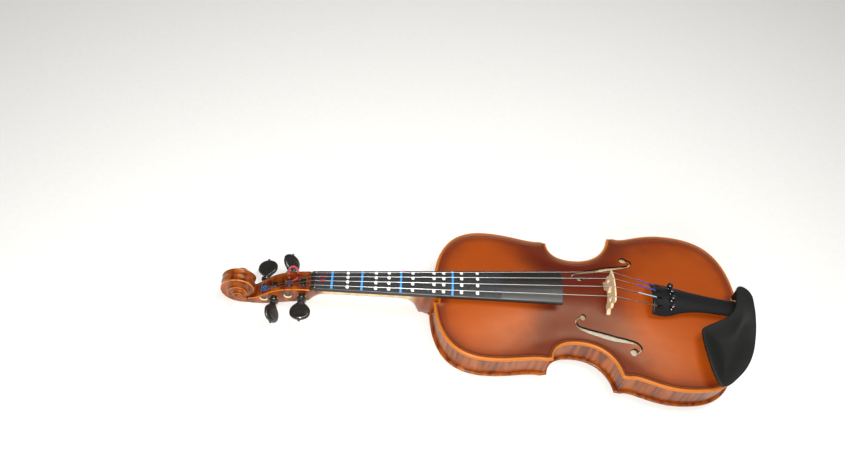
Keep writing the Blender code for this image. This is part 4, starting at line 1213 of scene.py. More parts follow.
def finish_of_faces(outline, shape, kinds):
    """0 for varnished faces, which take in the whole overhang, 1 for the bare inside and 2 for cut holes."""
    centres = np.array([shape[0][list(face)].mean(0)[:2] for face in shape[1]])
    overhang = distance_to(outline, centres) < OVERHANG + 0.8
    return np.where(overhang, 0, kinds)


RIM_STEPS = (0.3, 0.7, 1.2, 1.7, 2.3, 3.0, 3.8, 4.55, 4.65, 5.6, 6.6, 8.0)
PLATE_SPACING = 3.2
PLATE_BAND = 9.5


def purfling(name, outline, height, sizes, keep, turn, slot):
    """Two dyed strips with a pale one between them, let into the plate beside its edge."""
    inset, width = sizes.purfling_inset / MM, sizes.purfling_width / MM
    ring = offset_ring(outline, inset)
    ring = ring[keep(ring)]
    gaps = np.linalg.norm(np.diff(ring, axis=0), axis=1)
    runs = np.split(ring, np.nonzero(gaps > 12)[0] + 1)
    level = rise(*ring.T, height).mean() + float(edge_bead(np.array(inset), sizes)) - 0.05
    for k, run in enumerate(run for run in runs if len(run) > 3):
        for word, share, stand in (("dyed", 1.0, 0.0), ("pale", 0.3, 0.02)):
            z = level + stand if turn > 0 else -RIB_HEIGHT - level - stand
            points = np.column_stack([run, np.full(len(run), z)])
            fitted(strip(f"{name}_{word}_{k}", points, width * share, 0.2, f"{word}_strip"), slot)


class VIOLIN_OT_belly(bpy.types.Operator):
    """Make the arched spruce belly with its f-holes, raised edge and purfling"""

    bl_idname = "violin.belly"
    bl_label = "Belly"

    def execute(self, context):
        sizes = context.scene.violin_body
        outline = belly_outline()
        outer, inner = plate_surfaces(sizes.belly_arch / MM, sizes, 1)
        shape, kinds = shell(
            [outline] + f_hole(1) + f_hole(-1), PLATE_SPACING, PLATE_BAND, outer, inner, RIM_STEPS,
        )
        kinds = finish_of_faces(outline, shape, kinds)
        belly = piece("belly", shape, "belly bare_spruce cut_edge", 40, kinds)
        mark_distance(belly, outline)
        fitted(belly, "spruce_varnished", "top_plate")
        purfling(
            "belly_purfling", outline, sizes.belly_arch / MM, sizes,
            lambda p: (np.abs(p[:, 1]) > 17) | ((p[:, 0] > 12) & (p[:, 0] < 343)), 1, "spruce_varnished",
        )
        return {"FINISHED"}


class VIOLIN_OT_back(bpy.types.Operator):
    """Make the arched maple back with its button, raised edge and purfling"""

    bl_idname = "violin.back"
    bl_label = "Back"

    def execute(self, context):
        sizes = context.scene.violin_body
        outline = back_outline()
        inner, outer = plate_surfaces(sizes.back_arch / MM, sizes, -1)
        shape, kinds = shell([outline], PLATE_SPACING, PLATE_BAND, inner, outer, RIM_STEPS)
        kinds = finish_of_faces(outline, shape, [(1, 0, 2)[kind] for kind in kinds])
        back = piece("back", shape, "back bare_maple", 40, kinds)
        fitted(back, "maple_varnished", "back_plate")
        purfling(
            "back_purfling", outline, sizes.back_arch / MM, sizes, lambda p: p[:, 0] > 2, -1,
            "maple_varnished",
        )
        return {"FINISHED"}


def lengthened(line, start, end):
    """A line made longer or shorter at each end along its own direction."""
    first, last = unit(np.array([line[1] - line[0], line[-1] - line[-2]]))
    return np.vstack([line[0] - first * start, line[1:-1], line[-1] + last * end])


class VIOLIN_OT_ribs(bpy.types.Operator):
    """Make the six bent ribs, varnished outside and bare inside"""

    bl_idname = "violin.ribs"
    bl_label = "Ribs"

    def execute(self, context):
        upper, waist, lower = body_half(16.4, 0.4)
        lines = {
            "upper": lengthened(upper, 0, 2.2), "waist": lengthened(waist, -1.6, -1.6),
            "lower": lengthened(lower, 3.2, 2.2),
        }
        outline = back_outline()
        for side, word in ((1, "treble"), (-1, "bass")):
            for bout, line in lines.items():
                path = (line + inward_of(line) * (OVERHANG + RIB_THICKNESS / 2)) * (1, side)
                points = np.column_stack([path, np.full(len(path), -RIB_HEIGHT / 2)])
                rib = strip(f"{bout}_rib_{word}", points, RIB_THICKNESS, RIB_HEIGHT - 2 * GAP, "ribs")
                rib.data.materials.append(material("bare_maple"))
                sides = rib.data.polygons
                centres = np.array([((np.array(face.center) - DATUM) / MM)[:2] for face in sides])
                ahead = np.array([np.array(face.normal)[:2] * RIB_THICKNESS for face in sides])
                deeper = distance_to(outline, centres + ahead) > distance_to(outline, centres) + 0.3
                sides.foreach_set("material_index", deeper.astype(np.int32))
                fitted(rib, "maple_ribs", f"rib_{bout}_{word}")
        return {"FINISHED"}


INSIDE = ("lining", "corner_block", "neck_block", "end_block", "bass_bar", "sound_post")


class VIOLIN_OT_inside(bpy.types.Operator):
    """Dress the linings, blocks, bass bar and sound post in bare spruce, and glue in a plain label"""

    bl_idname = "violin.inside"
    bl_label = "Inside"

    def execute(self, context):
        for name, obj in frame["nodes"].items():
            if name.startswith(INSIDE):
                obj.data.materials.clear()
                obj.data.materials.append(material("bare_spruce"))
        sizes = context.scene.violin_body
        corners = np.array([(166, -44), (241, -44), (241, -2), (166, -2)], float)
        outline = evenly(np.vstack([corners, corners[:1]]), 3.5)[:-1]

        def inner_face(x, y, from_edge):
            return sizes.thickness / MM - RIB_HEIGHT - rise(x, y, sizes.back_arch / MM)

        shape, _ = shell(
            [outline], 5.0, 2.0, lambda *at: inner_face(*at) + 0.28, lambda *at: inner_face(*at) + 0.08,
        )
        fitted(piece("label", shape, "label"), "maple_varnished")
        return {"FINISHED"}


# ---------------------------------------------------------------- neck and scroll

def neck_section(x):
    """A neck section with a flat top and a rounded underside, fluted under the pegbox."""
    under, half, kept = (float(steady_table(NECK_SHAPE, k, x)) for k in (1, 2, 3))
    in_pegbox = x < -136
    top = float(steady_table(PEGBOX_EDGE, 1, x)) if in_pegbox else glue_plane(x) - GAP / 2
    corner = 0.8 if in_pegbox else 0.2
    v = np.sin(np.linspace(0, math.pi / 2, 14))
    reach = half * (kept + (1 - kept) * np.sqrt(1 - v * v))
    z = top + (under - top) * v
    outer = [(half - corner, top), (half, top - corner)] + list(zip(reach[2:], z[2:]))
    depth = 1.1 * float(ease((-146.0 - x) / 20.0))
    flat = reach[-1]
    for share in (0.8, 0.6, 0.4, 0.2):
        outer.append((flat * share, under + depth * math.sin(math.pi * share)))
    right = [(x, y, h) for y, h in outer]
    left = [(x, -y, h) for y, h in outer]
    return left + [(x, 0, under)] + right[::-1]


def scroll_shape(sizes):
    """The scroll's shape: two mirrored flights of a rising spiral, joined round the rim."""
    step = sizes.scroll_step
    count = VOLUTE_SWEEP // step
    turn = 360 // step
    eye = VOLUTE_RADIUS * math.exp(-VOLUTE_SHRINK * math.radians(VOLUTE_SWEEP))
    chamfer, flute, trough = sizes.chamfer / MM, sizes.flute / MM, sizes.trough / MM
    widths = [float(smooth_table(VOLUTE_WIDTH, min(i, count) * step)) for i in range(count + turn + 1)]
    angles = [math.radians(i * step) for i in range(count + turn + 1)]
    radii = [max(VOLUTE_RADIUS * math.exp(-VOLUTE_SHRINK * angle), eye) for angle in angles]

    def spot(r, i, y):
        angle = math.radians(VOLUTE_START - i * step)
        return (EYE_X + r * math.cos(angle), y, EYE_Z + r * math.sin(angle))

    points, faces, rows, worn = [], [], {}, set()

    def row(key, places):
        rows[key] = list(range(len(points), len(points) + len(places)))
        points.extend(places)

    def skin(a, b, edges=()):
        for j in range(len(a) - 1):
            if j in edges:
                worn.add(len(faces))
            faces.append((a[j], a[j + 1], b[j + 1], b[j]))

    for side in (1, -1):
        for i in range(count + 1):
            r, w, ahead = radii[i], widths[i], widths[min(i + turn, count)]
            inner_r = radii[i + turn]
            lift = w + TERRACE_LIFT * (ahead - w)
            bevel = min(chamfer, 0.3 * (r - inner_r) + 0.01)
            places = [spot(r, i, side * (w - bevel)), spot(r - bevel, i, side * w)]
            for t in (0.25, 0.5, 0.75):
                sag = trough * math.sin(math.pi * t) * min(1.0, (r - inner_r) / 5.0)
                reach = (r - bevel) + (inner_r - r + bevel) * t
                places.append(spot(reach, i, side * (w + (lift - w) * t - sag)))
            places.append(spot(inner_r, i, side * lift))
            places.append(spot(inner_r, i, side * (widths[i + turn] - min(chamfer, 0.3))))
            row((side, i), places)
        for i in range(count):
            # The chamfer faces take the edge finish, which is partly a painted highlight.
            skin(rows[side, i], rows[side, i + 1], (0,))
        cap = []
        for i in range(count - turn, count):
            w = widths[count]
            row(("cap", side, i), [
                spot(eye, i, side * (w - min(chamfer, 0.3))), spot(eye - 0.6, i, side * (w + 0.3)),
                spot(eye * 0.45, i, side * (w + 0.7)),
            ])
            cap.append(rows["cap", side, i])
        pairs = list(zip(cap, cap[1:] + cap[:1]))
        for a, b in pairs:
            skin(a, b)
        faces += [(a[-1], b[-1], len(points)) for a, b in pairs]
        points.append((EYE_X, side * (widths[count] + 0.8), EYE_Z))
    shares = (1.0, 0.85, 0.65, 0.45, 0.22, 0.0, -0.22, -0.45, -0.65, -0.85, -1.0)
    for i in range(turn + 1):
        across = widths[i] - chamfer
        depth = flute * float(ease(i / (0.12 * turn))) * float(ease((turn - i) / (0.2 * turn)))
        places = []
        for share in shares[1:-1]:
            sunk = depth * math.sin(math.pi * abs(share)) ** 1.2 if abs(share) > 0.01 else 0.0
            places.append(spot(radii[i] - sunk, i, across * share))
        row(("rim", i), places)
        rows["rim", i] = [rows[1, i][0]] + rows["rim", i] + [rows[-1, i][0]]
    for i in range(turn):
        skin(rows["rim", i], rows["rim", i + 1])
    start = rows[1, 0] + rows["rim", turn][1:-1] + rows[-1, 0][::-1] + rows["rim", 0][1:-1][::-1]
    faces.append(tuple(start))
    return (points, faces), [int(k in worn) for k in range(len(faces))]


def peg_matrix(name):
    """A peg's own axis in millimetres: its Z points out along the side that holds its head."""
    centre = (np.array(PEG_JOINTS[f"peg_{name}"]["pos_m"]) - DATUM) / MM
    outward_turn = Matrix.Rotation(-PEG_SIDE[name] * math.pi / 2, 4, "X")
    own_turn = Matrix.Rotation(math.radians(PEG_TURN[name]), 4, "Z")
    return Matrix.Translation(Vector((centre[0], 0, centre[2]))) @ outward_turn @ own_turn


def cheek_at(name):
    """Half width of the pegbox where a peg goes through it."""
    x = peg_matrix(name).translation.x
    return float(np.interp(-x, (136, 152, 164, 175, 186, 194), (12.8, 12.3, 11.8, 11.2, 10.4, 9.8)))


class VIOLIN_OT_neck(bpy.types.Operator):
    """Make the neck with its pegbox and scroll, carved from one piece of maple"""

    bl_idname = "violin.neck"
    bl_label = "Neck and scroll"

    def execute(self, context):
        stations = np.r_[
            [5.6, 0, -6, -12.4], np.linspace(-13.4, -38, 14), np.linspace(-44, -124, 15),
            np.linspace(-126, -135.7, 6), [-136.2], np.linspace(-138.5, -204.5, 28),
        ]
        finishes = "neck worn_edge"
        sections = [neck_section(float(x)) for x in stations]
        across = len(sections[0])
        # The pegbox's upper edges take the same edge finish, which is partly a painted highlight.
        upper_edge_highlights = [
            int(stations[k // across] < -136 and k % across in (0, across - 2))
            for k in range(across * (len(sections) - 1))
        ]
        neck = piece("neck_and_scroll", rings(sections), finishes, 32, upper_edge_highlights + [0, 0])
        shape, kinds = scroll_shape(context.scene.violin_neck)
        joined_by(neck, piece("scroll", shape, finishes, 32, kinds), "UNION")
        hollow = []
        for x in np.linspace(PEGBOX_HOLLOW[0][0], PEGBOX_HOLLOW[-1][0], 24):
            floor, half = (float(steady_table(PEGBOX_HOLLOW, k, x)) for k in (1, 2))
            hollow.append([
                (x, -half + 1, floor), (x, half - 1, floor), (x, half, floor + 1), (x, half, 8),
                (x, -half, 8), (x, -half, floor + 1),
            ])
        joined_by(neck, piece("hollow", rings(hollow), "neck", 32), "DIFFERENCE")
        for name in STRING_NAMES:
            cheek = cheek_at(name)
            hole = turned((
                (6.4, cheek + 2.0), (4.5, cheek - 0.5), (3.75, 1.5 - cheek), (5.2, -cheek - 0.6),
                (5.4, -cheek - 1.5),
            ), 28)
            hole = placed(hole, peg_matrix(name))
            joined_by(neck, piece("peg_hole", hole, "bare_maple", 32), "DIFFERENCE")
        outward(neck.data)
        soften(neck.data, 32)
        fitted(neck, "maple_neck", "neck")
        return {"FINISHED"}


# ---------------------------------------------------------------- fingerboard

def board_ring(x, inset=0.0):
    """One section of the fingerboard, from its crown round its edges and underside."""
    half = board_half(x) - inset
    base = glue_plane(x) + GAP / 2 + inset * 0.6
    hollow = BOARD_HOLLOW * max(0.0, (x - 2) / (BOARD_END - 2))
    ys = np.linspace(-(half - 0.5), half - 0.5, 25)
    top = [(x, y, float(board_top(x, y)) - inset) for y in ys]
    edge = float(board_top(x, half)) - inset
    under = [
        (x, y, base + hollow * math.sqrt(max(0.0, 1 - (y / (half - 3)) ** 2)))
        for y in np.linspace(half - 3, 3 - half, 15)
    ]
    return [
        (x, -half, base + 0.3), (x, -half, edge - 0.5), *top, (x, half, edge - 0.5),
        (x, half, base + 0.3), (x, half - 0.4, base), *under, (x, 0.4 - half, base),
    ]


class VIOLIN_OT_fingerboard(bpy.types.Operator):
    """Make the crowned ebony fingerboard and its nut, with a groove in the nut for each string"""

    bl_idname = "violin.fingerboard"
    bl_label = "Fingerboard and nut"

    def execute(self, context):
        stations = [
            (-NECK_LENGTH, 0.3), (-NECK_LENGTH + 0.3, 0.0),
            *((float(x), 0.0) for x in np.linspace(-126, 136, 34)),
            (BOARD_END - 0.6, 0.0), (BOARD_END, 0.5),
        ]
        board = rings([board_ring(x, inset) for x, inset in stations])
        fitted(piece("ebony_fingerboard", board, "board", 38), "ebony_board", "fingerboard")
        sections = []
        grooves = [STRING_SIDE[name] * NUT_SPACING for name in STRING_NAMES]
        nut_low, nut_high = low("nut"), high("nut")
        for t in np.linspace(0, 1, 7):
            x = nut_low[0] + (nut_high[0] - nut_low[0]) * t
            base = glue_plane(x) + GAP / 2
            fall = 0.9 * (1 - t) ** 2 + (0.35 if t > 0.99 else 0.0)
            ring = []
            for y in np.linspace(-11.6, 11.6, 47):
                groove = max(0.35 * math.exp(-((y - g) / 0.45) ** 2) for g in grooves)
                side = 0.8 * max(0.0, (abs(y) - 10.6) / 1.0) ** 2
                crest = float(board_top(-NECK_LENGTH, y)) + 0.7 + GLUE_SLOPE * (x + NECK_LENGTH)
                ring.append((x, y, crest - fall - groove - side))
            sections.append(ring + [(x, 11.6, base), (x, -11.6, base)])
        fitted(piece("ebony_nut", rings(sections), "polished", 38), "ebony_board", "nut")
        return {"FINISHED"}


def stop_at(semitones):
    """Where the film marks a note, this many semitones above the open string."""
    return MARK_LENGTH * (1 - 2 ** (-semitones / 12)) - NECK_LENGTH


# Heights above the board of the film and of what is printed on it.
FILM_TOP = 0.3
PRINT_TOP = 0.32


def on_board(x, y, above):
    """A place this far above the fingerboard."""
    return x, y, float(board_top(x, y)) + above


def across_strings(x, name):
    """Where a string passes over the board at x."""
    nut, bridge = string_line(name)
    return nut.y + (bridge.y - nut.y) * (x - nut.x) / (bridge.x - nut.x)


class VIOLIN_OT_finger_marks(bpy.types.Operator):
    """Make the clear film on the fingerboard and the lines and dots printed on it"""

    bl_idname = "violin.finger_marks"
    bl_label = "Finger marks"

    def execute(self, context):
        sizes = context.scene.violin_fittings
        start, end = low("fingerboard_decal")[0], high("fingerboard_decal")[0]
        sections = []
        for x in np.linspace(start, end, 24):
            ys = np.linspace(-1, 1, 25) * (board_half(x) - 1.0)
            sections.append([on_board(x, y, FILM_TOP) for y in ys] + [on_board(x, y, 0.12) for y in ys[::-1]])
        fitted(piece("clear_film", rings(sections), "film", 38), "decal_film", "fingerboard_decal")
        for semitones in (1, 3, 6, 11):
            x = stop_at(semitones)
            ys = np.linspace(-1, 1, 21) * (board_half(x) - 1.2)
            path = [on_board(x, y, PRINT_TOP) for y in ys]
            line = strip(f"mark_line_{semitones}", path, sizes.line_width / MM, 0.12, "blue_ink")
            fitted(line, "decal_film")
        for semitones in (2, 4, 5, 7, 9, 10, 12, 14):
            x = stop_at(semitones)
            spots = [on_board(x, across_strings(x, name), PRINT_TOP) for name in STRING_NAMES]
            dots = grown(f"mark_dots_{semitones}", spots, marks_tree, {
                "Radius": sizes.dot_radius, "Height": 0.3 * MM, "Crown": BOARD_RADIUS * MM,
                "Material": material("white_ink"),
            }, faces=[(0, 1, 2, 3)])
            fitted(dots, "decal_film")
        x = stop_at(7) - 9.0
        y = board_half(x) - 0.9
        path = [(x + along, *on_board(x, y, FILM_TOP)[1:]) for along in np.linspace(-4, 4, 5)]
        fitted(strip("pink_tab", path, 1.6, 0.14, "pink_ink"), "decal_film")
        return {"FINISHED"}


# ---------------------------------------------------------------- pegs and strings

# Distance past the collar's foot and half width there: the rings, which are round, then the thumb
# piece across its face and through its thickness.
PEG_RINGS = (
    (-0.4, 3.95), (0.0, 4.6), (0.5, 5.4), (1.2, 5.6), (1.9, 5.0), (2.3, 5.0), (2.9, 5.4), (3.4, 4.4),
)
PEG_HEAD_WIDE = (
    (4.2, 3.5), (6.0, 4.0), (8.5, 6.4), (11.0, 9.0), (14.0, 10.8), (17.0, 11.3), (20.5, 11.0), (23.2, 9.7),
    (25.4, 7.5), (26.8, 4.8), (27.4, 2.2), (27.6, 0.5),
)
PEG_HEAD_THICK = (
    (4.2, 3.4), (8.0, 3.7), (12.0, 4.4), (17.0, 4.4), (22.0, 3.9), (25.4, 3.0), (26.8, 2.1), (27.4, 1.2),
    (27.6, 0.4),
)


class VIOLIN_OT_pegs(bpy.types.Operator):
    """Make the four turned ebony pegs, each with a collar ring and a hollowed thumb piece"""

    bl_idname = "violin.pegs"
    bl_label = "Pegs"

    def execute(self, context):
        for name in STRING_NAMES:
            cheek = cheek_at(name)
            collar = cheek + 3.4
            shank = ((1.0 - cheek, 3.0), (1.4 - cheek, 3.3))
            wide, thick = (shank + tuple((collar + z, half) for z, half in PEG_RINGS + head)
                           for head in (PEG_HEAD_WIDE, PEG_HEAD_THICK))
            start = collar + 4.2
            heights = sorted({z for z, _ in wide + thick} | set(np.linspace(start, collar + 24.4, 14)))
            sections = []
            for z in heights:
                w, t = (float(steady_table(rows, 1, z)) for rows in (wide, thick))
                dish = 0.42 * float(ease((z - start - 1) / 6)) * float(ease((collar + 26.4 - z) / 5))
                sections.append([(w * x, t * y * (1 - dish * abs(y) ** 1.6), z) for x, y in circle(40)])
            peg = placed(rings(sections), peg_matrix(name))
            peg = piece(f"ebony_peg_{name}", peg, "polished", 50)
            round_end = np.linspace(0.05, math.pi - 0.05, 9)
            pip = turned([(1.5 * math.sin(a), collar + 28.2 + 1.5 * math.cos(a)) for a in round_end], 20)
            joined_by(peg, piece("pip", placed(pip, peg_matrix(name)), "polished"), "UNION")
            soften(peg.data, 50)
            mover(peg, "ebony_peg", f"peg_{name}")
        return {"FINISHED"}


def string_path(name):
    """A string from its peg over the nut and the bridge to its fine tuner."""
    side, radius = STRING_SIDE[name], STRING_RADIUS[name]
    nut, bridge = string_line(name)
    back = nut + Vector((-NUT_LENGTH, 0, -GLUE_SLOPE * NUT_LENGTH - 0.35))
    axis = peg_matrix(name).translation
    centre = Vector((axis.x, side * PEG_SPACING, axis.z))
    toward = (centre - back).normalized()
    reach = centre + Vector((toward.z, 0, -toward.x)) * (PEG_SHAFT + radius + 0.1)
    anchor = Vector((TUNER_PIVOT_X - 6.2, side * TAIL_SPACING, 0))
    anchor.z = float(tailpiece_top(anchor.x, anchor.y)) + radius + 0.5
    lift = Vector((0, 0, radius * 0.6))
    return [reach, back + lift, nut + lift * 0.5, bridge + Vector((0, 0, radius)), anchor]


PEG_SILK = {"e": "purple_silk", "a": "blue_silk", "d": "brown_silk", "g": "black_silk"}
TAIL_SILK = {"e": "violet_silk", "a": "violet_silk", "d": "silver_silk", "g": "brown_silk"}


class VIOLIN_OT_strings(bpy.types.Operator):
    """Make the strings with their silk ends and their turns round the pegs"""

    bl_idname = "violin.strings"
    bl_label = "Strings"

    def execute(self, context):
        sizes = context.scene.violin_fittings
        for name in STRING_NAMES:
            radius = STRING_RADIUS[name]
            reach, back, nut, bridge, anchor = string_path(name)
            finish = "plain_string" if name == "e" else "wound_string"
            string = cord(f"steel_string_{name}", [reach, back, nut, bridge, anchor], radius, finish)
            fitted(string, "string_metal", f"string_{name}")
            start = anchor + (bridge - anchor).normalized() * sizes.silk / MM
            wrap = radius + (0.34 if PEG_SIDE[name] > 0 else 0.2)
            fitted(cord(f"tail_silk_{name}", [start, anchor], wrap, TAIL_SILK[name]), "string_metal")
            if name in ("a", "d"):
                toward = (bridge - nut).normalized()
                ends = [nut + toward * way for way in (4.5, 5.5, 9.0, 10.0)]
                fitted(cord(f"nut_silk_{name}", ends, radius + 0.3, "red_silk"), "string_metal")
            thick = radius + 0.14
            turns = sizes.windings + (2 if PEG_SIDE[name] > 0 else 0)
            winding = grown(f"winding_{name}", [(0, 0, 0), (0, 0, 1)], winding_tree, {
                "Turns": float(turns), "Radius": (PEG_SHAFT + thick) * MM, "Length": turns * 2.1 * thick * MM,
                "Thickness": thick * MM, "Material": material(PEG_SILK[name]),
            }, shade=60)
            away = PEG_SIDE[name] * STRING_SIDE[name] * PEG_SPACING
            room = PEGBOX_HALF - turns * 2.1 * thick
            inner_end = min(max(away - turns * 1.05 * thick, -PEGBOX_HALF), room)
            matrix = peg_matrix(name) @ Matrix.Translation(Vector((0, 0, inner_end)))
            matrix.translation = matrix.translation * MM + Vector(DATUM)
            winding.data.transform(matrix)
            outward(winding.data)
            soften(winding.data, 60)
            fitted(winding, "string_metal", body=f"peg_{name}")
        bow = [(-156.0 + 5.2 * math.cos(a), 9.4 + 1.2 * math.sin(a), -4.0 + 11.5 * math.sin(a))
               for a in np.linspace(-0.3, math.pi + 0.3, 22)]
        ends = [(-157.0, 4.5, -13.0), (-152.0, 7.0, -11.0)]
        loop = cord("spare_silk_end", spline(ends + bow + [(-160.0, 7.4, -11.5)], 1.0), 0.95, "red_silk")
        fitted(loop, "string_metal")
        return {"FINISHED"}


# ---------------------------------------------------------------- bridge

def bridge_loops():
    """The bridge seen from the neck: its outline, heart and kidneys."""
    crown = [string_line(name)[1] for name in STRING_NAMES]
    fit = np.polyfit([p.y for p in crown], [p.z - STRING_RADIUS[n] for p, n in zip(crown, STRING_NAMES)], 2)
    foot = {y: float(rise(BRIDGE_X, y, BELLY_ARCH)) + 0.12 for y in (21.0, 10.5)}
    top = [(y, float(np.polyval(fit, y))) for y in np.linspace(-20.5, 20.5, 41)]
    low_edge = foot[21.0]
    flank = spline([
        (20.9, top[-1][1] - 1.0), (20.9, 39.6), (18.8, 35.8), (18.2, 32.6), (19.9, 29.6), (20.3, 26.4),
        (18.8, 23.8), (17.8, 21.2), (18.6, 18.2), (20.9, low_edge + 2.4), (21.3, low_edge + 0.4),
    ], 0.7)
    arch = spline([
        (10.2, foot[10.5] + 0.2), (9.8, foot[10.5] + 2.4), (7.0, 20.6), (3.5, 22.4), (0.0, 22.9),
    ], 0.8)
    sole = [(y, float(rise(BRIDGE_X, y, BELLY_ARCH)) + 0.12) for y in np.linspace(21.2, 10.3, 9)]
    half = list(map(tuple, flank)) + sole + list(map(tuple, arch))
    outline = top + half[:-1] + [(0.0, 22.9)] + [(-y, z) for y, z in half[-2::-1]]
    heart = [(0, 26.6), (2.6, 30.0), (4.5, 33.6), (3.6, 36.0), (1.6, 35.0), (1.2, 37.2), (0, 38.4)]
    heart = spline(heart + [(-y, z) for y, z in heart[-2:0:-1]], 0.6, closed=True)
    kidney = [(9.0, 29.0), (12.2, 27.6), (14.6, 29.0), (13.8, 32.6), (11.4, 35.2), (9.4, 34.4), (10.6, 31.6)]
    kidney = spline(kidney, 0.6, closed=True)
    return np.array(outline), [heart, kidney, kidney * (-1, 1)], low_edge, crown[1].z


class VIOLIN_OT_bridge(bpy.types.Operator):
    """Make the maple bridge, which thins from its feet to its crown"""

    bl_idname = "violin.bridge"
    bl_label = "Bridge"

    def execute(self, context):
        outline, holes, low_edge, crest = bridge_loops()

        def half_thickness(u, v, from_edge):
            up = np.clip((v - low_edge) / (crest - low_edge), 0, 1)
            thick = BRIDGE_FOOT_THICKNESS + (BRIDGE_TOP_THICKNESS - BRIDGE_FOOT_THICKNESS) * up ** 0.9
            return thick / 2 - round_over(from_edge, 0.35, 0.3)

        shape, _ = shell(
            [outline] + holes, 2.2, 1.2, half_thickness, lambda *at: -half_thickness(*at), (0.12, 0.35),
        )
        points, faces = shape
        upright = np.column_stack([points[:, 2] + BRIDGE_X, points[:, 0], points[:, 1]])
        fitted(piece("maple_bridge", (upright, faces), "bridge"), "maple_bridge", "bridge")
        return {"FINISHED"}


# ---------------------------------------------------------------- tailpiece and tail end

class VIOLIN_OT_tailpiece(bpy.types.Operator):
    """Make the crowned tailpiece with a slot and a screw hole for each string"""

    bl_idname = "violin.tailpiece"
    bl_label = "Tailpiece"

    def execute(self, context):
        xs = np.linspace(TAILPIECE_FRONT, high("tailpiece")[0], 60)
        half = np.column_stack([xs, smooth_table(TAILPIECE_SHAPE, xs)])
        front = np.column_stack([np.full(15, xs[0]), np.linspace(-1, 1, 17)[1:-1] * half[0, 1]])
        end = np.column_stack([np.full(9, xs[-1]), np.linspace(1, -1, 11)[1:-1] * half[-1, 1]])
        outline = np.vstack([half, end, mirrored(half)[::-1], front])
        slot = np.array([(-5.0, -1.2), (-4.6, -1.6), (0.6, -1.6), (1.0, -1.2)])
        slot = np.vstack([slot, mirrored(slot)[::-1]])
        holes = []
        for name in STRING_NAMES:
            y = STRING_SIDE[name] * TAIL_SPACING
            holes += [circle(20) * 1.7 + (TUNER_SCREW_X, y), slot + (TUNER_PIVOT_X, y)]

        def upper(x, y, from_edge):
            ledge = 0.7 * np.exp(-((x - TAILPIECE_FRONT - 2.2) / 1.1) ** 2)
            return tailpiece_top(x, y) + ledge - round_over(from_edge, 1.6, 1.3)

        def lower(x, y, from_edge):
            return tailpiece_top(x, y) - TAILPIECE_WALL + round_over(from_edge, 0.8, 0.5)

        shape, _ = shell([outline] + holes, 2.6, 2.4, upper, lower, (0.2, 0.5, 0.9, 1.6))
        fitted(piece("black_tailpiece", shape, "composite", 38), "composite_black", "tailpiece")
        return {"FINISHED"}


class VIOLIN_OT_tuners(bpy.types.Operator):
    """Make the four fine tuners: a lever, a screw and a knurled knob each"""

    bl_idname = "violin.tuners"
    bl_label = "Fine tuners"

    def execute(self, context):
        count = context.scene.violin_fittings.knurls
        reach = TUNER_SCREW_X - TUNER_PIVOT_X
        pivot_z = float(tailpiece_top(TUNER_PIVOT_X, 0)) - TUNER_DROP
        for name in STRING_NAMES:
            y = STRING_SIDE[name] * TAIL_SPACING
            hook = float(tailpiece_top(TUNER_PIVOT_X - 3, y)) - pivot_z + 0.1
            shape = np.array([
                (-4.0, hook), (-2.2, hook - 1.6), (-0.8, hook), (-0.1, hook - 0.4), (-0.4, 1.8), (3, 0.4),
                (reach + 1.5, -1.9), (reach + 1.5, -3.5), (3, -2.2), (0, -2.4), (-2.2, -1.6), (-3.6, 1.4),
            ]) + (TUNER_PIVOT_X, pivot_z)
            lever = rings([[(x, y + side, z) for x, z in shape] for side in (-1.2, 1.2)])
            lever = bevelled(piece(f"lever_{name}", lever, "black_chrome"), 0.3)
            mover(lever, "tuner_metal", f"tuner_lever_{name}")
            foot, top = low(f"tuner_screw_{name}")[2], high(f"tuner_screw_{name}")[2]
            profile = [(0.3, foot), (0.8, foot + 0.3)]
            for z in np.arange(foot + 0.9, top - 0.5, 0.5):
                profile += [(1.25, z - 0.12), (1.25, z), (1.05, z + 0.2)]
            screw = shifted(turned(profile + [(1.25, top - 0.2), (1.25, top)], 20), TUNER_SCREW_X, y)
            mover(piece(f"screw_{name}", screw, "nickel", 30), "tuner_metal", f"tuner_screw_{name}")
            base, crest = low(f"tuner_knob_{name}")[2], high(f"tuner_knob_{name}")[2]
            points, faces = shifted(turned((
                (1.3, base), (2.4, base), (2.8, base + 0.4), (2.9, base + 0.8), (2.9, crest - 0.9),
                (2.8, crest - 0.5), (2.3, crest - 0.1), (1.6, crest), (1.2, crest - 0.5),
            )), TUNER_SCREW_X, y)
            knob = grown(f"knob_{name}", points, knurl_tree, {
                "Count": count, "Radius": 2.88 * MM, "Height": (crest - base - 1.6) * MM,
                "Middle": tuple(np.array((TUNER_SCREW_X, y, (base + crest) / 2)) * MM + DATUM),
                "Material": material("black_chrome"),
            }, faces=faces)
            mover(knob, "tuner_knob", f"tuner_knob_{name}")
        return {"FINISHED"}


def along_x(*centre):
    """Lays a turned piece's axis along the violin at a centre."""
    return Matrix.Translation(Vector(centre)) @ Matrix.Rotation(math.pi / 2, 4, "Y")


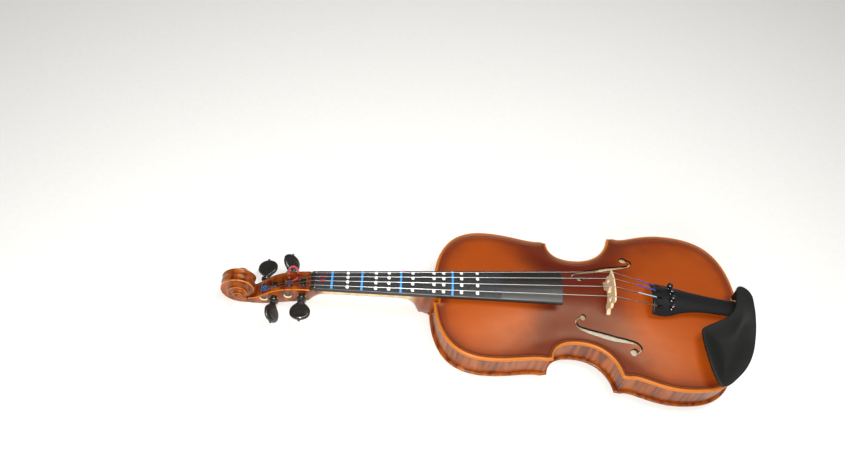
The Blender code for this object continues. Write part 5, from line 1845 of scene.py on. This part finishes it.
class VIOLIN_OT_tail_end(bpy.types.Operator):
    """Make the saddle, the end button and the cord that holds the tailpiece"""

    bl_idname = "violin.tail_end"
    bl_label = "Tail end"

    def execute(self, context):
        _, reach, top_z = high("saddle")
        sections = []
        for y in np.linspace(-reach, reach, 31):
            top = top_z - 3.3 * float(ease((abs(y) - 9.5) / 5.0))
            sections.append([
                (349.4, y, 0.1), (349.4, y, top - 1.6), (350.3, y, top - 0.5), (351.6, y, top),
                (353.2, y, top), (354.8, y, top - 0.5), (355.9, y, top - 1.5), (356.2, y, top - 2.6),
                (356.2, y, 0.1),
            ])
        fitted(piece("ebony_saddle", rings(sections), "polished"), "ebony_saddle", "saddle")
        button = turned((
            (0.6, 14.0), (2.6, 13.9), (4.4, 13.4), (5.8, 12.6), (6.6, 11.6), (6.8, 10.5), (6.6, 9.6),
            (6.0, 8.9), (4.8, 8.3), (3.7, 7.8), (3.4, 7.0), (3.4, 2.4), (3.8, 1.5), (4.9, 0.8),
            (4.95, 0.1), (3.8, -0.2), (3.3, -14.0),
        ), 40)
        button = placed(button, along_x(BODY_LENGTH - OVERHANG + GAP, 0, BUTTON_Z))
        fitted(piece("ebony_end_button", button, "polished", 45), "ebony_saddle", "end_button")
        turn_round = [
            (359.3, 4.6 * math.cos(a), BUTTON_Z + 4.6 * math.sin(a)) for a in np.linspace(0, -math.pi, 17)
        ]
        half = spline([
            (338, 4, 12.2), (350, 4, 10.6), (353.4, 4, 10.0), (356.6, 4.1, 8.4), (358.8, 4.4, 4.0),
            turn_round[0],
        ], 1.5)
        path = np.vstack([half, turn_round[1:-1], (half * (1, -1, 1))[::-1]])
        fitted(cord("nylon_tail_cord", path, 1.05, "nylon", 14), "tail_cord", "tail_gut")
        return {"FINISHED"}


# ---------------------------------------------------------------- chin rest

def chinrest_rim(y):
    """Height of the chin rest's rim across the violin."""
    return 25.0 + 3.0 * np.clip((y + 45) / 45, 0, 1) - 3.0 * np.clip((-70 - y) / 30, 0, 1)


class VIOLIN_OT_chin_rest(bpy.types.Operator):
    """Make the moulded chin rest with its dished cup, its two feet and their cork"""

    bl_idname = "violin.chin_rest"
    bl_label = "Chin rest"

    def execute(self, context):
        outline = spline(np.array(CHINREST_OUTLINE, float), 2.0, closed=True)
        outline[:, 1] = np.maximum(outline[:, 1], -102.9)

        def dish(x, y, from_edge):
            return chinrest_rim(y) - 7.5 * ease(from_edge / 24.0) * ease((-y - 4) / 22)

        shape, _ = shell(
            [outline], 3.6, 3.0, lambda x, y, d: dish(x, y, d) - round_over(d, 1.7, 1.5),
            lambda x, y, d: dish(x, y, d) - 3.4 + round_over(d, 1.7, 1.5), (0.1, 0.35, 0.7, 1.15, 1.7, 2.6),
        )
        rest = piece("moulded_chin_rest", shape, "resin", 45)
        for word in ("treble", "bass"):
            cork_low, cork_high = low(f"chinrest_cork_{word}"), high(f"chinrest_cork_{word}")
            top = 26.0 if word == "treble" else 21.0
            foot = box_shape((*cork_low[:2], cork_high[2] + GAP), (*cork_high[:2], top))
            foot = bevelled(piece("foot", foot, "resin"), 0.8, 3)
            joined_by(rest, foot, "UNION")
            pad = bevelled(piece(f"cork_pad_{word}", box_shape(cork_low, cork_high), "cork"), 0.3)
            fitted(pad, "cork", f"chinrest_cork_{word}")
        soften(rest.data, 45)
        fitted(rest, "chinrest_black", "chinrest_plate")
        return {"FINISHED"}


# How far each leg of the foot stays screwed into its barrel, which is more than the clamp opens.
LEG_IN_BARREL = 4.0


class VIOLIN_OT_clamp(bpy.types.Operator):
    """Make the chin rest's clamp: two studs, two barrels with a key hole, and the foot with its cork"""

    bl_idname = "violin.clamp"
    bl_label = "Clamp"

    def execute(self, context):
        bright = "clamp_nickel"
        for side, word in ((-1, "bass"), (1, "treble")):
            y = side * CLAMP_Y
            foot, top = low(f"clamp_barrel_{word}")[2], high(f"clamp_barrel_{word}")[2]
            half = ((1.5, 0), (1.9, 0), (2.4, 0.5), (2.4, 9), (2.1, 9.3), (2.1, 10.2), (2.4, 10.5))
            barrel = turned([(r, top - z) for r, z in half] + [(r, foot + z) for r, z in half[::-1]])
            barrel = piece(f"barrel_{word}", shifted(barrel, CLAMP_X, y), "nickel", 30)
            key_hole = placed(turned(((0.75, 4.0), (0.75, -4.0)), 16), along_x(CLAMP_X, y, (foot + top) / 2))
            joined_by(barrel, piece("key_hole", key_hole, "nickel"), "DIFFERENCE")
            soften(barrel.data, 30)
            mover(barrel, bright, f"clamp_barrel_{word}")
            foot, top = low(f"clamp_stud_{word}")[2], high(f"clamp_stud_{word}")[2]
            profile = []
            for z in np.arange(top, foot, -0.8):
                profile += [(1.45, z), (1.45, z - 0.25), (1.22, z - 0.5)]
            stud = shifted(turned(profile + [(1.2, foot)], 24), CLAMP_X, y)
            fitted(piece(f"stud_{word}", stud, "nickel", 30), bright, f"clamp_stud_{word}")
        plate_low, plate_high = low("clamp_foot"), high("clamp_foot")
        plate = box_shape(plate_low, (*plate_high[:2], plate_low[2] + 1.8))
        foot = bevelled(piece("clamp_foot_plate", plate, "nickel"), 0.6, 3)
        for side in (-1, 1):
            leg_top = plate_high[2] + LEG_IN_BARREL
            leg = turned(((1.2, leg_top), (1.45, leg_top - 0.3), (1.45, plate_low[2] + 0.6)), 24)
            joined_by(foot, piece("leg", shifted(leg, CLAMP_X, side * CLAMP_Y), "nickel"), "UNION")
        soften(foot.data, 35)
        mover(foot, bright, "clamp_foot")
        pad = bevelled(piece("clamp_pad", box_shape(low("clamp_cork"), high("clamp_cork")), "cork"), 0.3)
        fitted(pad, "cork", "clamp_cork", body="clamp_foot")
        return {"FINISHED"}


# ---------------------------------------------------------------- stage

LIGHTS = (
    # name, where it stands, size, power
    ("overhead_softbox", (0.36, 0.05, 1.5), 0.8, 11.5),
    ("front_softbox", (-0.1, -1.35, 0.85), 0.8, 8.0),
    ("near_camera", (-0.18, -0.57, 0.945), 0.04, 13.0),
)
LIGHT_AIM = (0.02, 0.0, 0.04)
SKY_STRENGTH = 0.17
# How far the floor lies below the violin, in metres.
UNDER_PIECES = 0.0006


class VIOLIN_OT_stage(bpy.types.Operator):
    """Lay the pale floor and set up the soft lights and the camera"""

    bl_idname = "violin.stage"
    bl_label = "Stage"

    def execute(self, context):
        scene = context.scene
        settings = scene.violin_stage
        half = settings.floor_size / 2
        mesh = bpy.data.meshes.new("studio_floor")
        level = CAD_BOX[0][2] - UNDER_PIECES
        corners = [(-half, -half, level), (half, -half, level), (half, half, level), (-half, half, level)]
        mesh.from_pydata(corners, [], [(0, 1, 2, 3)])
        mesh.materials.append(material("paper"))
        floor = bpy.data.objects.new("studio_floor", mesh)
        scene.collection.objects.link(floor)
        for name, where, size, power in LIGHTS:
            lamp = bpy.data.lights.new(name, "AREA")
            lamp.shape = "DISK"
            lamp.size = size
            lamp.energy = power
            obj = bpy.data.objects.new(name, lamp)
            obj.location = where
            obj.rotation_euler = (Vector(where) - Vector(LIGHT_AIM)).to_track_quat("Z", "Y").to_euler()
            scene.collection.objects.link(obj)
        sky = bpy.data.worlds.new("studio")
        sky.use_nodes = True
        backdrop = sky.node_tree.nodes["Background"]
        feed(sky.node_tree, backdrop, {"Color": (1, 1, 1, 1), "Strength": SKY_STRENGTH})
        scene.world = sky
        scene.view_settings.view_transform = "Standard"
        lens = bpy.data.cameras.new("camera")
        lens.lens = settings.lens
        lens.sensor_width = 36.0
        lens.clip_start = 0.01
        camera = bpy.data.objects.new("camera", lens)
        a, e = settings.azimuth, settings.elevation
        away = Vector((math.sin(a) * math.cos(e), -math.cos(a) * math.cos(e), math.sin(e)))
        up = (Vector((0, 0, 1)) - away * away.z).normalized()
        up = up * math.cos(settings.roll) + (-away).cross(up) * math.sin(settings.roll)
        right = up.cross(away)
        turn = Matrix((right, up, away)).transposed().to_4x4()
        camera.matrix_world = Matrix.Translation(Vector(settings.eye)) @ turn
        scene.collection.objects.link(camera)
        scene.camera = camera
        return {"FINISHED"}


# ---------------------------------------------------------------- panel and registration

OPERATORS = (
    VIOLIN_OT_belly, VIOLIN_OT_back, VIOLIN_OT_ribs, VIOLIN_OT_inside, VIOLIN_OT_neck, VIOLIN_OT_fingerboard,
    VIOLIN_OT_finger_marks, VIOLIN_OT_pegs, VIOLIN_OT_strings, VIOLIN_OT_bridge, VIOLIN_OT_tailpiece,
    VIOLIN_OT_tuners, VIOLIN_OT_tail_end, VIOLIN_OT_chin_rest, VIOLIN_OT_clamp, VIOLIN_OT_stage,
)
GROUPS = {
    "violin_body": ViolinBodySizes, "violin_neck": ViolinNeckSizes, "violin_fittings": ViolinFittingSizes,
    "violin_colours": ViolinColours, "violin_stage": ViolinStage,
}


class VIOLIN_PT_pieces(bpy.types.Panel):
    """Lists the violin's pieces, sizes and colours"""

    bl_idname = "VIOLIN_PT_pieces"
    bl_label = "Violin"
    bl_space_type = "VIEW_3D"
    bl_region_type = "UI"
    bl_category = "Violin"

    def draw(self, context):
        for group in GROUPS:
            box = self.layout.box()
            settings = getattr(context.scene, group)
            for name in settings.bl_rna.properties.keys():
                if name not in ("rna_type", "name"):
                    box.prop(settings, name)
        for operator in OPERATORS:
            self.layout.operator(operator.bl_idname)


def register():
    for cls in (*GROUPS.values(), *OPERATORS, VIOLIN_PT_pieces):
        bpy.utils.register_class(cls)
    for name, cls in GROUPS.items():
        setattr(bpy.types.Scene, name, PointerProperty(type=cls))


def unregister():
    for name in GROUPS:
        delattr(bpy.types.Scene, name)
    for cls in reversed((*GROUPS.values(), *OPERATORS, VIOLIN_PT_pieces)):
        bpy.utils.unregister_class(cls)


def main():
    register()
    for operator in OPERATORS:
        group, name = operator.bl_idname.split(".")
        getattr(getattr(bpy.ops, group), name)()


if __name__ == "__main__":
    main()
